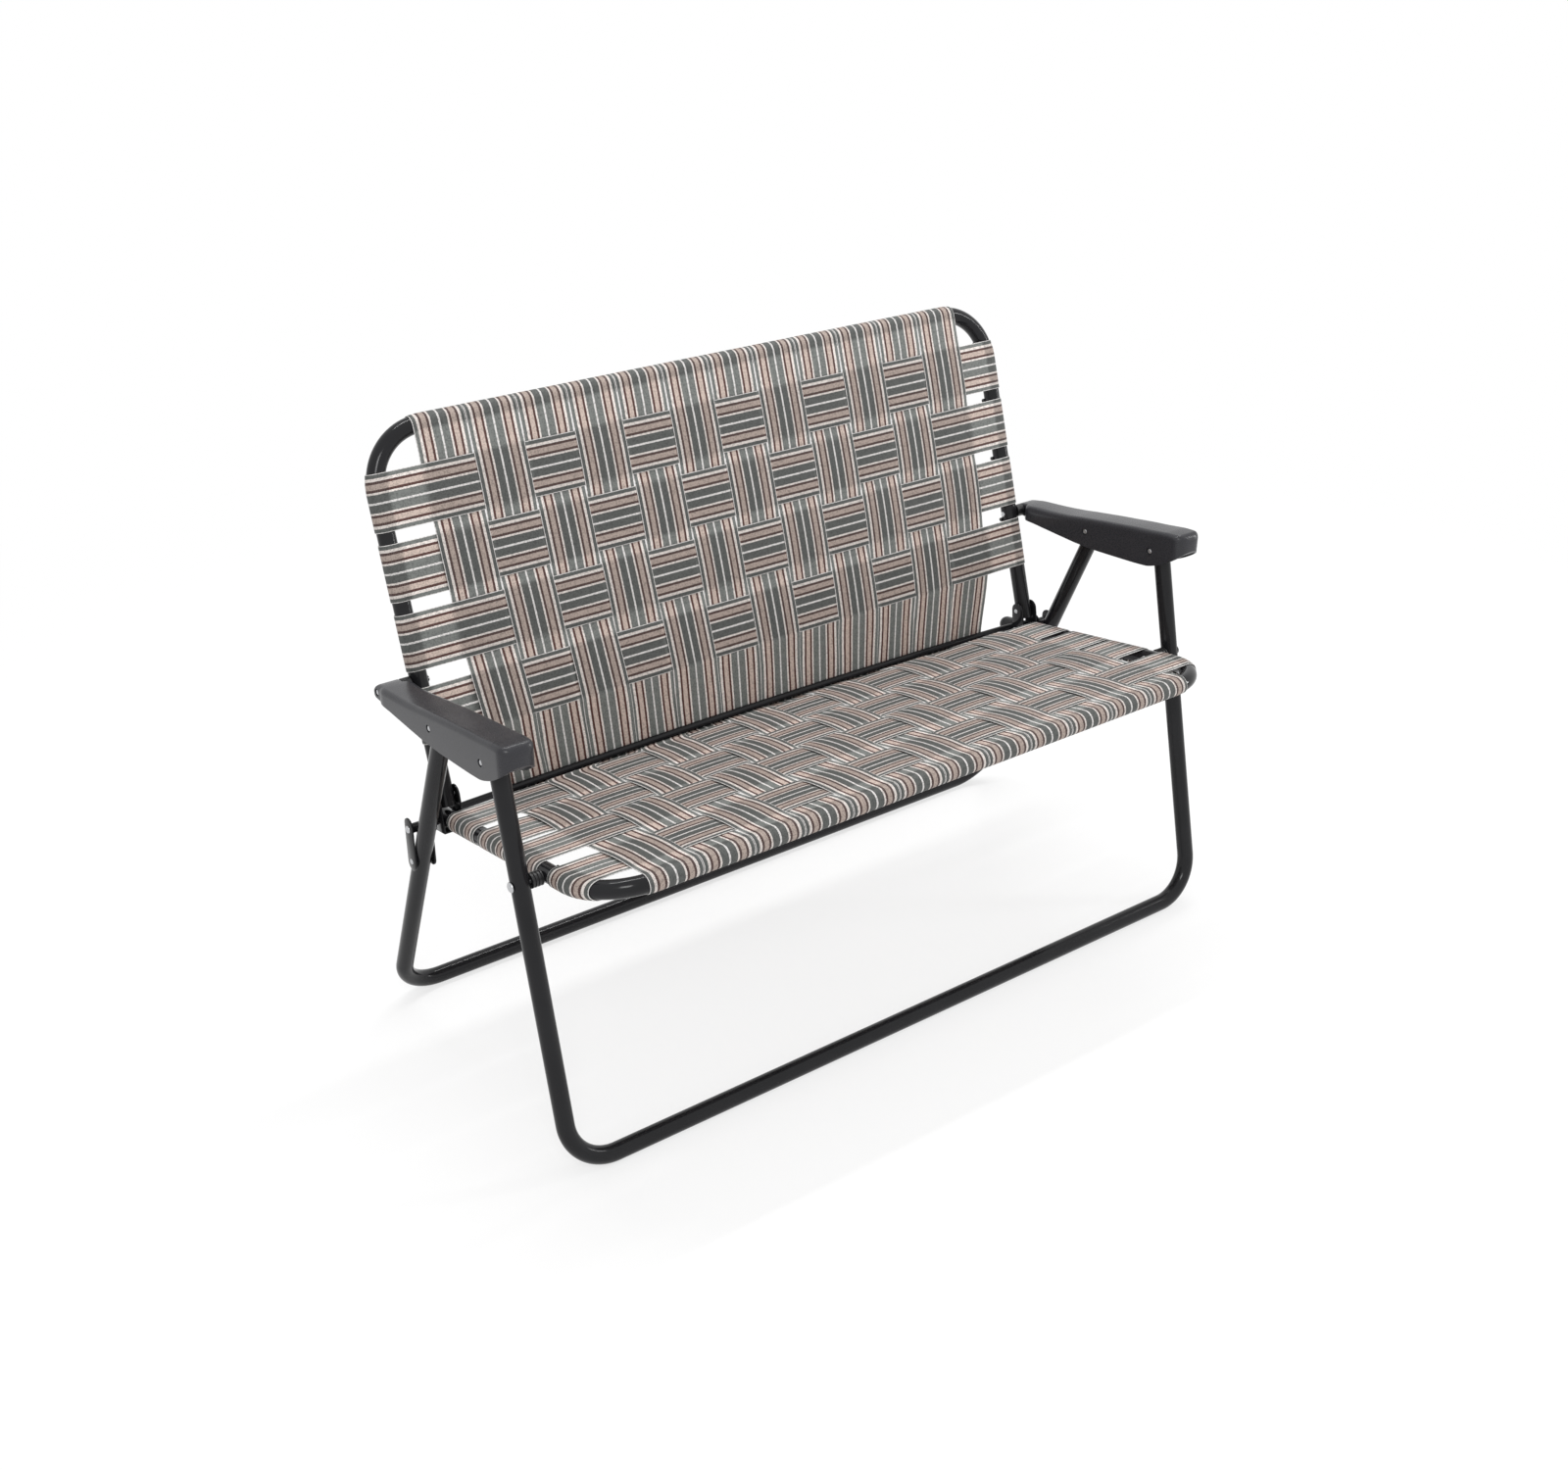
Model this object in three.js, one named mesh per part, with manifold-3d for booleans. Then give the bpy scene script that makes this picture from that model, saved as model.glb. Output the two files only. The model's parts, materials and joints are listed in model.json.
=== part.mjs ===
import * as THREE from 'three';
import { mergeVertices } from 'three/addons/utils/BufferGeometryUtils.js';
import Module from 'manifold-3d';

// Folding two seat camping bench: four bent steel tube frames, woven webbing, moulded arm rests.
// Millimetres, +Z up, +X to the right of someone looking at the front, the front faces -Y.
// The origin is on the floor under the middle of the bench.

const wasm = await Module();
wasm.setup();

const degree = Math.PI / 180;

// Tube
const tubeDiameter = 22.2;
const tubeWall = 1.2;
const tubeSides = 16;
const tubeBoreSides = 8;
const legBendRadius = 58;
const legBendSteps = 7;
const panelBendRadius = 70;
const panelBendSteps = 9;

// Side view: where the frames stand and how they lean
const frontFootForward = 217.51;
const frontLegLean = 13.17 * degree;
const rearLegLean = 23.4 * degree;
const seatPitch = 10.24 * degree;
const backLean = 17.12 * degree;
const footToSeatPivot = 354.2;
const seatPivotToArmPivot = 146.2;
const frontLegTail = 12;
const railTail = 33;
const railCapLength = 9;
const railCapStepCount = 3;
const hingeRise = 29.3;
const uprightTail = 12;
const backPivotToRearPivot = 139.2;
const rearLegTail = 8;
const rearPivotToLinkPivot = 242.5;

// Front view: how far the tube centre lines stand off from the webbing and from each other
const webToPanelTube = 56.2;
const panelTubeToLegTube = 37.4;

// Fits
const fitGap = 0.3;
const boreGap = 0.3;
const cutOverrun = 2;

// Pins, bolts and spacers
const pinRadius = 3;
const pinSides = 12;
const headRadius = 6.4;
const headHeight = 3;
const headTopShare = 0.6;
const rivetHeadRadius = 5;
const rivetHeadHeight = 1.5;
const armRivetHeadRadius = 3.8;
const seatSpacerRadius = 9.2;
const seatSpacerWaist = 8;
const seatSpacerFlange = 3.6;
const armSpacerRadius = 7;

// Hinge bracket
const bracketSheet = 2.5;
const bracketRearReach = 5.5;
const bracketFrontReach = 18;
const bracketTopRadius = 10.8;
const bracketTopRise = 1;
const bracketShoulder = 6;
const bracketArcSteps = 6;

// Link between the seat hinge and the rear leg
const linkSheet = 2.3;
const linkHalfWidth = 10;
const linkOverhang = 2.5;
const linkArcSteps = 6;
const linkHeadRadius = 4.6;
const linkHeadHeight = 1.8;
const axleRadius = 6;
const axleHeadRadius = 6.8;

// Crease bar
const creaseBarRadius = 4.75;
const creaseBarSides = 12;
const creaseBarSetback = 12;
const creaseBarRise = 2.2;
const creaseBarBow = 12.6;
const creaseBarSteps = 10;

// Arm rest
const armWall = 3;
const armInnerReach = 23.5;
const armOuterReach = 20;
const noseInnerReach = 8;
const noseOuterReach = 17;
const noseRadius = 7.5;
const armFrontOverhang = 53;
const armDepth = 50;
const armEdgeRadius = 7;
const armBossRadius = 8;
const noseBossRadius = 6.5;
const armRecessRadius = 4.6;
const armRecessDepth = 1.8;

// Arm profile from the rear end to the front end: place along the arm, drop of the underside and
// rise of the top from the line through the pivots, and how far the width has opened from the nose
const armAlongShares = [0, 0.0033, 0.0104, 0.024, 0.0476, 0.0692, 0.0944, 0.1447, 0.195, 0.2453,
    0.2956, 0.346, 0.3963, 0.4466, 0.4969, 0.5472, 0.6478, 0.7355, 0.8195, 0.8755, 0.9222, 0.9689,
    0.9844, 0.9954, 1];
const armUnderShares = [0.06, 0.105, 0.14, 0.155, 0.172, 0.188, 0.205, 0.232, 0.268, 0.302, 0.337,
    0.37, 0.403, 0.423, 0.44, 0.45, 0.45, 0.447, 0.43, 0.345, 0.225, 0.055, -0.02, -0.1, -0.14];
const armTopShares = [0.06, 0.1, 0.125, 0.14, 0.172, 0.19, 0.203, 0.224, 0.238, 0.257, 0.281,
    0.309, 0.346, 0.378, 0.41, 0.442, 0.496, 0.545, 0.58, 0.61, 0.632, 0.63, 0.59, 0.51, 0.4];
const armWidthShares = [0, 0, 0, 0, 0, 0.75, 1, 1, 1, 1, 1, 1, 1, 1, 1, 1, 1, 1, 1, 1, 1, 1, 0.97,
    0.88, 0.74];

// Webbing
const webWidth = 68.7;
const webSideGap = 0.4;
const webThickness = 1.2;
const webCount = 12;
const webGap = 0.3;
const webLayerGap = 0.3;
const webWrapAngle = 236 * degree;
const webWrapSteps = 8;
const webCreaseGap = 0.15;
const webDrawIn = 19;

// Gaps before each cross strip: down from the top bar, and forward from the crease bar
const backRowGaps = [45.35, 14.1, 14.8, 20.3];
const seatRowGaps = [23.65, 11.8, 4.8, 24.8];
const lastRowToHinge = 67.35;
const lastRowToArmPivot = 7.35;
const lastRowToFrontBar = 24.95;
const lastRowToSeatPivot = 15.05;
const backDrawInLength = 200;
const seatDrawInLength = 40;
const seatPlaneSetback = 22.5;
const rowDipStart = 5;
const rowDipEnd = 3;

// Values that follow
const tubeRadius = tubeDiameter / 2;
const webPitch = webWidth + webSideGap;
const webOutermost = webPitch * (webCount - 1) / 2 + webWidth / 2;
const panelHalfWidth = webOutermost + webToPanelTube;
const legHalfWidth = panelHalfWidth + panelTubeToLegTube;
const tubeReach = tubeRadius / Math.cos(Math.PI / tubeSides);
const webRadius = tubeReach + webGap + webThickness / 2;
const creaseWebRadius = creaseBarRadius / Math.cos(Math.PI / creaseBarSides) + webGap + webThickness / 2;
const bendStart = panelHalfWidth - panelBendRadius;
const legInner = legHalfWidth - tubeReach;
const legOuter = legHalfWidth + tubeReach;
const panelInner = panelHalfWidth - tubeReach;
const panelOuter = panelHalfWidth + tubeReach;
const bracketInner = panelInner - fitGap;
const bracketOuter = panelOuter + fitGap;

// Middle of each cross strip, from the gaps before them
function rowPlaces(gaps) {
    return gaps.map((_, i) => gaps.slice(0, i + 1).reduce((sum, gap) => sum + gap) + webWidth * (i + 1 / 2));
}

const backRowPlaces = rowPlaces(backRowGaps);
const seatRowPlaces = rowPlaces(seatRowGaps);
const hingeToTopBar = backRowPlaces.at(-1) + webWidth / 2 + lastRowToHinge;
const hingeToArmPivot = lastRowToHinge + webWidth + lastRowToArmPivot;
const seatPivotToCreaseBar = seatRowPlaces.at(-1) - webWidth / 2 - lastRowToSeatPivot;
const seatPivotToFrontBar = lastRowToSeatPivot + webWidth + lastRowToFrontBar;

// Side view vectors are [y, z] pairs
const plus = (a, b, length) => [a[0] + b[0] * length, a[1] + b[1] * length];
const minus = (a, b) => [a[0] - b[0], a[1] - b[1]];
const dot = (a, b) => a[0] * b[0] + a[1] * b[1];
const size = (a) => Math.hypot(a[0], a[1]);
const unit = (a) => [a[0] / size(a), a[1] / size(a)];

const frontFoot = [-frontFootForward, tubeRadius];
const frontLegUp = [Math.sin(frontLegLean), Math.cos(frontLegLean)];
const seatPivot = plus(frontFoot, frontLegUp, footToSeatPivot);
const armFrontPivot = plus(seatPivot, frontLegUp, seatPivotToArmPivot);
const railBack = [Math.cos(seatPitch), -Math.sin(seatPitch)];
const railUp = [Math.sin(seatPitch), Math.cos(seatPitch)];
const frontBar = plus(seatPivot, railBack, -seatPivotToFrontBar);
const creasePivot = plus(seatPivot, railBack, seatPivotToCreaseBar);
const hinge = [creasePivot[0], creasePivot[1] + hingeRise];
const backUp = [Math.sin(backLean), Math.cos(backLean)];
const backFront = [-Math.cos(backLean), Math.sin(backLean)];
const topBar = plus(hinge, backUp, hingeToTopBar);
const armBackPivot = plus(hinge, backUp, hingeToArmPivot);
const armForward = unit(minus(armFrontPivot, armBackPivot));
const armRearPivot = plus(armBackPivot, armForward, backPivotToRearPivot);
const rearLegDown = [Math.sin(rearLegLean), -Math.cos(rearLegLean)];
const rearLegLength = (armRearPivot[1] - tubeRadius) / Math.cos(rearLegLean);
const rearFoot = plus(armRearPivot, rearLegDown, rearLegLength);
const linkPivot = plus(armRearPivot, rearLegDown, rearPivotToLinkPivot);
const creaseEnd = plus(plus(creasePivot, railBack, creaseBarSetback), railUp, creaseBarRise);
const bowWay = unit(plus(backUp, railBack, -1));

// Building blocks

function closedSurface(positions, indices) {
    let volume = 0;
    const point = (i) => new THREE.Vector3().fromArray(positions, i * 3);
    for (let i = 0; i < indices.length; i += 3) {
        const [a, b, c] = [point(indices[i]), point(indices[i + 1]), point(indices[i + 2])];
        volume += a.dot(b.cross(c));
    }
    if (volume < 0) indices.reverse();
    const geometry = new THREE.BufferGeometry();
    geometry.setAttribute('position', new THREE.Float32BufferAttribute(positions, 3));
    geometry.setIndex(indices);
    return geometry;
}

// Rings of equal point counts joined in order, with a flat cap at each end
function loft(rings) {
    const count = rings[0].length;
    const indices = [];
    for (let i = 0; i + 1 < rings.length; i++) {
        for (let j = 0; j < count; j++) {
            const [a, b] = [i * count + j, i * count + (j + 1) % count];
            indices.push(a, b, b + count, a, b + count, a + count);
        }
    }
    const last = (rings.length - 1) * count;
    for (let j = 1; j + 1 < count; j++) {
        indices.push(0, j + 1, j);
        indices.push(last, last + j, last + j + 1);
    }
    return closedSurface(rings.flat(2), indices);
}

// Turned piece on an axis along X: the profile holds [x, radius] pairs from end to end
function turned(profile, centre, sides) {
    return loft(profile.map(([x, radius]) => circlePoints(sides).map(([c, s]) =>
        [x, centre[0] + radius * c, centre[1] + radius * s])));
}

function circlePoints(sides) {
    return Array.from({ length: sides }, (_, i) => {
        const angle = (i + 1 / 2) / sides * 2 * Math.PI;
        return [Math.cos(angle), Math.sin(angle)];
    });
}

// Side view outline given as [y, z] points, carried along X
function slab(outline, x0, x1) {
    return loft([x0, x1].map((x) => outline.map(([y, z]) => [x, y, z])));
}

function arc(centre, radius, from, to, steps) {
    return Array.from({ length: steps + 1 }, (_, i) => {
        const angle = from + (to - from) * i / steps;
        return [centre[0] + radius * Math.cos(angle), centre[1] + radius * Math.sin(angle)];
    });
}

function toSolid(geometry) {
    const bare = geometry.clone();
    bare.deleteAttribute('normal');
    bare.deleteAttribute('uv');
    const joined = mergeVertices(bare);
    const merged = closedSurface(Array.from(joined.attributes.position.array), Array.from(joined.index.array));
    return new wasm.Manifold(new wasm.Mesh({
        numProp: 3,
        vertProperties: new Float32Array(merged.attributes.position.array),
        triVerts: new Uint32Array(merged.index.array),
    }));
}

function fromSolid(solid) {
    const mesh = solid.getMesh();
    const geometry = new THREE.BufferGeometry();
    geometry.setAttribute('position', new THREE.BufferAttribute(new Float32Array(mesh.vertProperties), 3));
    geometry.setIndex(new THREE.BufferAttribute(new Uint32Array(mesh.triVerts), 1));
    return geometry;
}

function boreRadius(radius, sides) {
    return (radius + boreGap) / Math.cos(Math.PI / sides);
}

function bore(x0, x1, centre, radius) {
    const reach = boreRadius(radius, pinSides);
    return toSolid(turned([[x0, reach], [x1, reach]], centre, pinSides));
}

// Both sides of the bench carry the same side parts
const sides = [['right', 1], ['left', -1]];

const group = new THREE.Group();

function addMesh(name, geometry, look) {
    const mesh = new THREE.Mesh(geometry, new THREE.MeshStandardMaterial(look));
    mesh.geometry.computeVertexNormals();
    mesh.name = name;
    group.add(mesh);
}

const coatLook = { color: 0x2f2f31, metalness: 0.4, roughness: 0.4 };
const armLook = { color: 0x4b4b4f, metalness: 0, roughness: 0.6 };
const steelLook = { color: 0xb4b4b8, metalness: 0.9, roughness: 0.35 };
const spacerLook = { color: 0x17171a, metalness: 0, roughness: 0.7 };
const webLook = { color: 0xb9aca2, metalness: 0, roughness: 0.9 };

// Tube frames: each is one tube bent to a U that lies in one plane

class FrameRoute extends THREE.Curve {
    constructor(points, tangents) {
        super();
        this.points = points;
        this.tangents = tangents;
    }

    stationAt(share) {
        return Math.round(share * (this.points.length - 1));
    }

    getPointAt(share) {
        return this.points[this.stationAt(share)].clone();
    }

    getTangentAt(share) {
        return this.tangents[this.stationAt(share)].clone();
    }

    getPoint(share) {
        return this.getPointAt(share);
    }
}

// The open ends are at the given side view point, the closed bar runs along X at the other
function frameRoute(open, closed, halfWidth, bendRadius, bendSteps) {
    const down = unit(minus(closed, open));
    const straight = size(minus(closed, open)) - bendRadius;
    const points = [];
    const tangents = [];
    const add = (x, along, tangentX, tangentAlong) => {
        const place = plus(open, down, along);
        points.push(new THREE.Vector3(x, place[0], place[1]));
        tangents.push(new THREE.Vector3(tangentX, down[0] * tangentAlong, down[1] * tangentAlong));
    };
    add(-halfWidth, 0, 0, 1);
    for (let i = 0; i <= bendSteps; i++) {
        const [c, s] = [Math.cos(i / bendSteps * Math.PI / 2), Math.sin(i / bendSteps * Math.PI / 2)];
        add(-halfWidth + bendRadius * (1 - c), straight + bendRadius * s, s, c);
    }
    for (let i = 0; i <= bendSteps; i++) {
        const [c, s] = [Math.cos(i / bendSteps * Math.PI / 2), Math.sin(i / bendSteps * Math.PI / 2)];
        add(halfWidth - bendRadius * (1 - s), straight + bendRadius * c, c, -s);
    }
    add(halfWidth, 0, 0, -1);
    return new FrameRoute(points, tangents);
}

// One flat of the section faces straight down on the closed bar
function frameTube(route) {
    const steps = route.points.length - 1;
    const frames = route.computeFrenetFrames(steps, false);
    const middle = Math.floor(steps / 2);
    const floorAngle = Math.atan2(-frames.binormals[middle].z, -frames.normals[middle].z);
    const ring = (reach, count) => Array.from({ length: count }, (_, i) => {
        const angle = floorAngle + (i + 1 / 2) / count * 2 * Math.PI;
        return new THREE.Vector2(reach * Math.cos(angle), reach * Math.sin(angle));
    });
    const section = new THREE.Shape(ring(tubeReach, tubeSides));
    section.holes.push(new THREE.Path(ring(tubeRadius - tubeWall, tubeBoreSides).reverse()));
    return toSolid(new THREE.ExtrudeGeometry(section, { steps, extrudePath: route, curveSegments: 1 }));
}

function tubeBores(tube, halfWidth, centres) {
    let result = tube;
    for (const [, side] of sides) {
        const x = side * halfWidth;
        for (const centre of centres) {
            const reach = tubeRadius + cutOverrun;
            result = result.subtract(bore(x - reach, x + reach, centre, pinRadius));
        }
    }
    return result;
}

const frontLegTop = plus(armFrontPivot, frontLegUp, frontLegTail);
const frontLegRoute = frameRoute(frontLegTop, frontFoot, legHalfWidth, legBendRadius, legBendSteps);
addMesh('front_leg_frame', fromSolid(tubeBores(frameTube(frontLegRoute), legHalfWidth, [seatPivot])), coatLook);

const rearLegTop = plus(armRearPivot, rearLegDown, -rearLegTail);
const rearLegRoute = frameRoute(rearLegTop, rearFoot, legHalfWidth, legBendRadius, legBendSteps);
addMesh('rear_leg_frame', fromSolid(tubeBores(frameTube(rearLegRoute), legHalfWidth, [armRearPivot])), coatLook);

const uprightEnd = plus(hinge, backUp, -uprightTail);
const backRoute = frameRoute(uprightEnd, topBar, panelHalfWidth, panelBendRadius, panelBendSteps);
const backTube = tubeBores(frameTube(backRoute), panelHalfWidth, [hinge, armBackPivot]);
addMesh('back_frame', fromSolid(backTube), coatLook);

// The rails end behind the hinge in domed plugs
const railEnd = plus(creasePivot, railBack, railTail);
const seatRoute = frameRoute(railEnd, frontBar, panelHalfWidth, panelBendRadius, panelBendSteps);
let seatTube = frameTube(seatRoute);
for (const [, side] of sides) {
    const rings = [];
    for (let i = 0; i <= railCapStepCount; i++) {
        const angle = i / (railCapStepCount + 1 / 2) * Math.PI / 2;
        const along = i === 0 ? -tubeWall : railCapLength * Math.sin(angle);
        const radius = (tubeRadius - tubeWall / 2) * Math.cos(angle);
        rings.push(circlePoints(tubeSides).map(([c, s]) => {
            const place = plus(plus(railEnd, railBack, along), railUp, radius * s);
            return [side * panelHalfWidth + radius * c, place[0], place[1]];
        }));
    }
    seatTube = seatTube.add(toSolid(loft(rings)));
}
seatTube = tubeBores(seatTube, panelHalfWidth, [seatPivot, creasePivot]);
for (const [, side] of sides) {
    const [x0, x1] = [panelInner - cutOverrun, panelHalfWidth];
    seatTube = seatTube.subtract(bore(side * x0, side * x1, creaseEnd, creaseBarRadius));
}
addMesh('seat_frame', fromSolid(seatTube), coatLook);

// Crease bar between the rails, bowed up and forward by the pull of the webbing. Its ends are
// straight and sit inside the rails.

function creaseCentre(x) {
    const share = Math.min(1, Math.abs(x) / (panelInner - cutOverrun));
    return plus(creaseEnd, bowWay, creaseBarBow * (1 - share * share));
}

const creasePlaces = Array.from({ length: creaseBarSteps + 1 }, (_, i) =>
    (panelInner - cutOverrun) * (2 * i / creaseBarSteps - 1));
const creaseRings = [-panelHalfWidth, ...creasePlaces, panelHalfWidth].map((x) => {
    const centre = creaseCentre(x);
    const reach = creaseBarRadius / Math.cos(Math.PI / creaseBarSides);
    return circlePoints(creaseBarSides).map(([c, s]) => [x, centre[0] + reach * c, centre[1] + reach * s]);
});
addMesh('crease_bar', loft(creaseRings), coatLook);

// Hinge brackets: a bent strap under the rail whose two cheeks hold the rail and the upright

function railPlace(along, up) {
    return plus(plus(creasePivot, railBack, along), railUp, up);
}

const hingeUp = dot(minus(hinge, creasePivot), railUp);
const bracketTop = [bracketTopRadius - bracketFrontReach, hingeUp + bracketTopRise];
const strapUnder = -(tubeReach + fitGap + bracketSheet);
const cheekOutline = [
    railPlace(bracketRearReach, strapUnder),
    railPlace(bracketRearReach, bracketShoulder),
    ...arc(bracketTop, bracketTopRadius, 0, Math.PI, bracketArcSteps).map((p) => railPlace(...p)),
    railPlace(-bracketFrontReach, strapUnder),
];
const slotReach = bracketFrontReach + cutOverrun;
const slotTop = bracketTop[1] + bracketTopRadius + cutOverrun;
const slotOutline = [
    railPlace(slotReach, strapUnder + bracketSheet),
    railPlace(slotReach, slotTop),
    railPlace(-slotReach, slotTop),
    railPlace(-slotReach, strapUnder + bracketSheet),
];

for (const [name, side] of sides) {
    const outer = toSolid(slab(cheekOutline, side * (bracketInner - bracketSheet), side * (bracketOuter + bracketSheet)));
    const slot = toSolid(slab(slotOutline, side * bracketInner, side * bracketOuter));
    let bracket = outer.subtract(slot);
    const [x0, x1] = [bracketInner - bracketSheet - cutOverrun, bracketOuter + bracketSheet + cutOverrun];
    for (const centre of [hinge, creasePivot]) {
        bracket = bracket.subtract(bore(side * x0, side * x1, centre, pinRadius));
    }
    addMesh('hinge_bracket_' + name, fromSolid(bracket), coatLook);
}

// Pins: a domed head at each end of a shank

function domedHead(x, way, radius, height) {
    return [[x, radius], [x + way * height, radius * headTopShare]];
}

function pin(centre, inner, outer, shank, innerHead, outerHead) {
    const profile = [
        ...domedHead(inner, -1, innerHead[0], innerHead[1]).reverse(),
        [inner, shank],
        [outer, shank],
        ...domedHead(outer, 1, outerHead[0], outerHead[1]),
    ];
    return (side) => turned(profile.map(([x, radius]) => [side * x, radius]), centre, pinSides);
}

const boltHead = [headRadius, headHeight];
const rivetHead = [rivetHeadRadius, rivetHeadHeight];
const cheekInnerFace = bracketInner - bracketSheet - fitGap;
const cheekOuterFace = bracketOuter + bracketSheet + fitGap;
const hingePin = pin(hinge, cheekInnerFace, cheekOuterFace, pinRadius, boltHead, rivetHead);
const seatBolt = pin(seatPivot, panelInner - fitGap, legOuter + fitGap, pinRadius, boltHead, boltHead);

// Link plates, one each side of the rear leg, on a shouldered axle at the hinge

const linkInnerFace = legInner - fitGap;
const linkOuterFace = legOuter + fitGap;
const axleOuterFace = linkOuterFace + linkSheet + fitGap;
const linkWay = unit(minus(linkPivot, creasePivot));
const linkAngle = Math.atan2(linkWay[1], linkWay[0]);
const linkEnds = [plus(creasePivot, linkWay, -linkOverhang), plus(linkPivot, linkWay, linkOverhang)];
const linkOutline = [
    ...arc(linkEnds[0], linkHalfWidth, linkAngle + Math.PI / 2, linkAngle + 3 * Math.PI / 2, linkArcSteps),
    ...arc(linkEnds[1], linkHalfWidth, linkAngle - Math.PI / 2, linkAngle + Math.PI / 2, linkArcSteps),
];
const axleProfile = [
    ...domedHead(cheekInnerFace, -1, linkHeadRadius, linkHeadHeight).reverse(),
    [cheekInnerFace, pinRadius],
    [cheekOuterFace, pinRadius],
    [cheekOuterFace, axleRadius],
    [linkInnerFace - linkSheet - fitGap, axleRadius],
    [linkInnerFace - linkSheet - fitGap, pinRadius],
    [linkInnerFace + fitGap, pinRadius],
    [linkInnerFace + fitGap, axleRadius],
    [linkOuterFace - fitGap, axleRadius],
    [linkOuterFace - fitGap, pinRadius],
    [axleOuterFace, pinRadius],
    ...domedHead(axleOuterFace, 1, axleHeadRadius, headHeight),
];

function linkPlate(side, x0, x1, way) {
    const plate = toSolid(slab(linkOutline, side * x0, side * x1));
    const face = way > 0 ? x1 : x0;
    const head = [[face - way * linkSheet / 2, linkHeadRadius], ...domedHead(face, way, linkHeadRadius, linkHeadHeight)];
    const stud = toSolid(turned(head.map(([x, radius]) => [side * x, radius]), linkPivot, pinSides));
    const hole = bore(side * (x0 - cutOverrun), side * (x1 + cutOverrun), creasePivot, pinRadius);
    return fromSolid(plate.add(stud).subtract(hole));
}

// Spacers: bored rings that hold the frames apart

function spacer(centre, profile) {
    const inner = boreRadius(pinRadius, pinSides);
    const loop = [...profile, [profile.at(-1)[0], inner], [profile[0][0], inner]];
    return (side) => {
        const rings = loop.map(([x, radius]) => circlePoints(pinSides).map(([c, s]) =>
            [side * x, centre[0] + radius * c, centre[1] + radius * s]));
        const positions = rings.flat(2);
        const indices = [];
        for (let i = 0; i < rings.length; i++) {
            const next = (i + 1) % rings.length;
            for (let j = 0; j < pinSides; j++) {
                const k = (j + 1) % pinSides;
                const [a, b] = [i * pinSides + j, i * pinSides + k];
                const [c, d] = [next * pinSides + k, next * pinSides + j];
                indices.push(a, b, c, a, c, d);
            }
        }
        return closedSurface(positions, indices);
    };
}

const seatSpacerEnds = [panelOuter + fitGap, legInner - fitGap];
const noseInnerFace = legHalfWidth - noseInnerReach;
const noseOuterFace = legHalfWidth + noseOuterReach;
const seatSpacer = spacer(seatPivot, [
    [seatSpacerEnds[0], seatSpacerRadius],
    [seatSpacerEnds[0] + seatSpacerFlange, seatSpacerRadius],
    [seatSpacerEnds[0] + seatSpacerFlange, seatSpacerWaist],
    [seatSpacerEnds[1] - seatSpacerFlange, seatSpacerWaist],
    [seatSpacerEnds[1] - seatSpacerFlange, seatSpacerRadius],
    [seatSpacerEnds[1], seatSpacerRadius],
]);
const armSpacer = spacer(armBackPivot, [
    [panelOuter + fitGap, armSpacerRadius],
    [noseInnerFace - fitGap, armSpacerRadius],
]);
const armBoltOuter = noseOuterFace - armRecessDepth + fitGap;
const armRivetHead = [armRivetHeadRadius, rivetHeadHeight];
const armBolt = pin(armBackPivot, panelInner - fitGap, armBoltOuter, pinRadius, boltHead, armRivetHead);
const armSides = [legHalfWidth - armInnerReach, legHalfWidth + armOuterReach];
const armFaces = [armSides[0] + armRecessDepth - fitGap, armSides[1] - armRecessDepth + fitGap];
const armRivet = pin(armRearPivot, armFaces[0], armFaces[1], pinRadius, armRivetHead, armRivetHead);

for (const [name, side] of sides) {
    addMesh('hinge_pin_' + name, hingePin(side), steelLook);
    addMesh('seat_bolt_' + name, seatBolt(side), coatLook);
    addMesh('seat_spacer_' + name, seatSpacer(side), spacerLook);
    addMesh('link_axle_' + name, turned(axleProfile.map(([x, r]) => [side * x, r]), creasePivot, pinSides), steelLook);
    addMesh('link_inner_' + name, linkPlate(side, linkInnerFace - linkSheet, linkInnerFace, -1), coatLook);
    addMesh('link_outer_' + name, linkPlate(side, linkOuterFace, linkOuterFace + linkSheet, 1), coatLook);
    addMesh('arm_bolt_' + name, armBolt(side), steelLook);
    addMesh('arm_spacer_' + name, armSpacer(side), spacerLook);
    addMesh('arm_rivet_' + name, armRivet(side), steelLook);
}

// Arm rests: moulded channels, open underneath, narrow at the rear

const armRearEnd = armBackPivot[0] + noseRadius;
const armFrontEnd = armFrontPivot[0] - armFrontOverhang;
const armLength = armRearEnd - armFrontEnd;

function armValue(shares, along) {
    let i = 1;
    while (i < armAlongShares.length - 1 && armAlongShares[i] < along) i++;
    const part = (along - armAlongShares[i - 1]) / (armAlongShares[i] - armAlongShares[i - 1]);
    return shares[i - 1] + (shares[i] - shares[i - 1]) * Math.min(1, Math.max(0, part));
}

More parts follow.
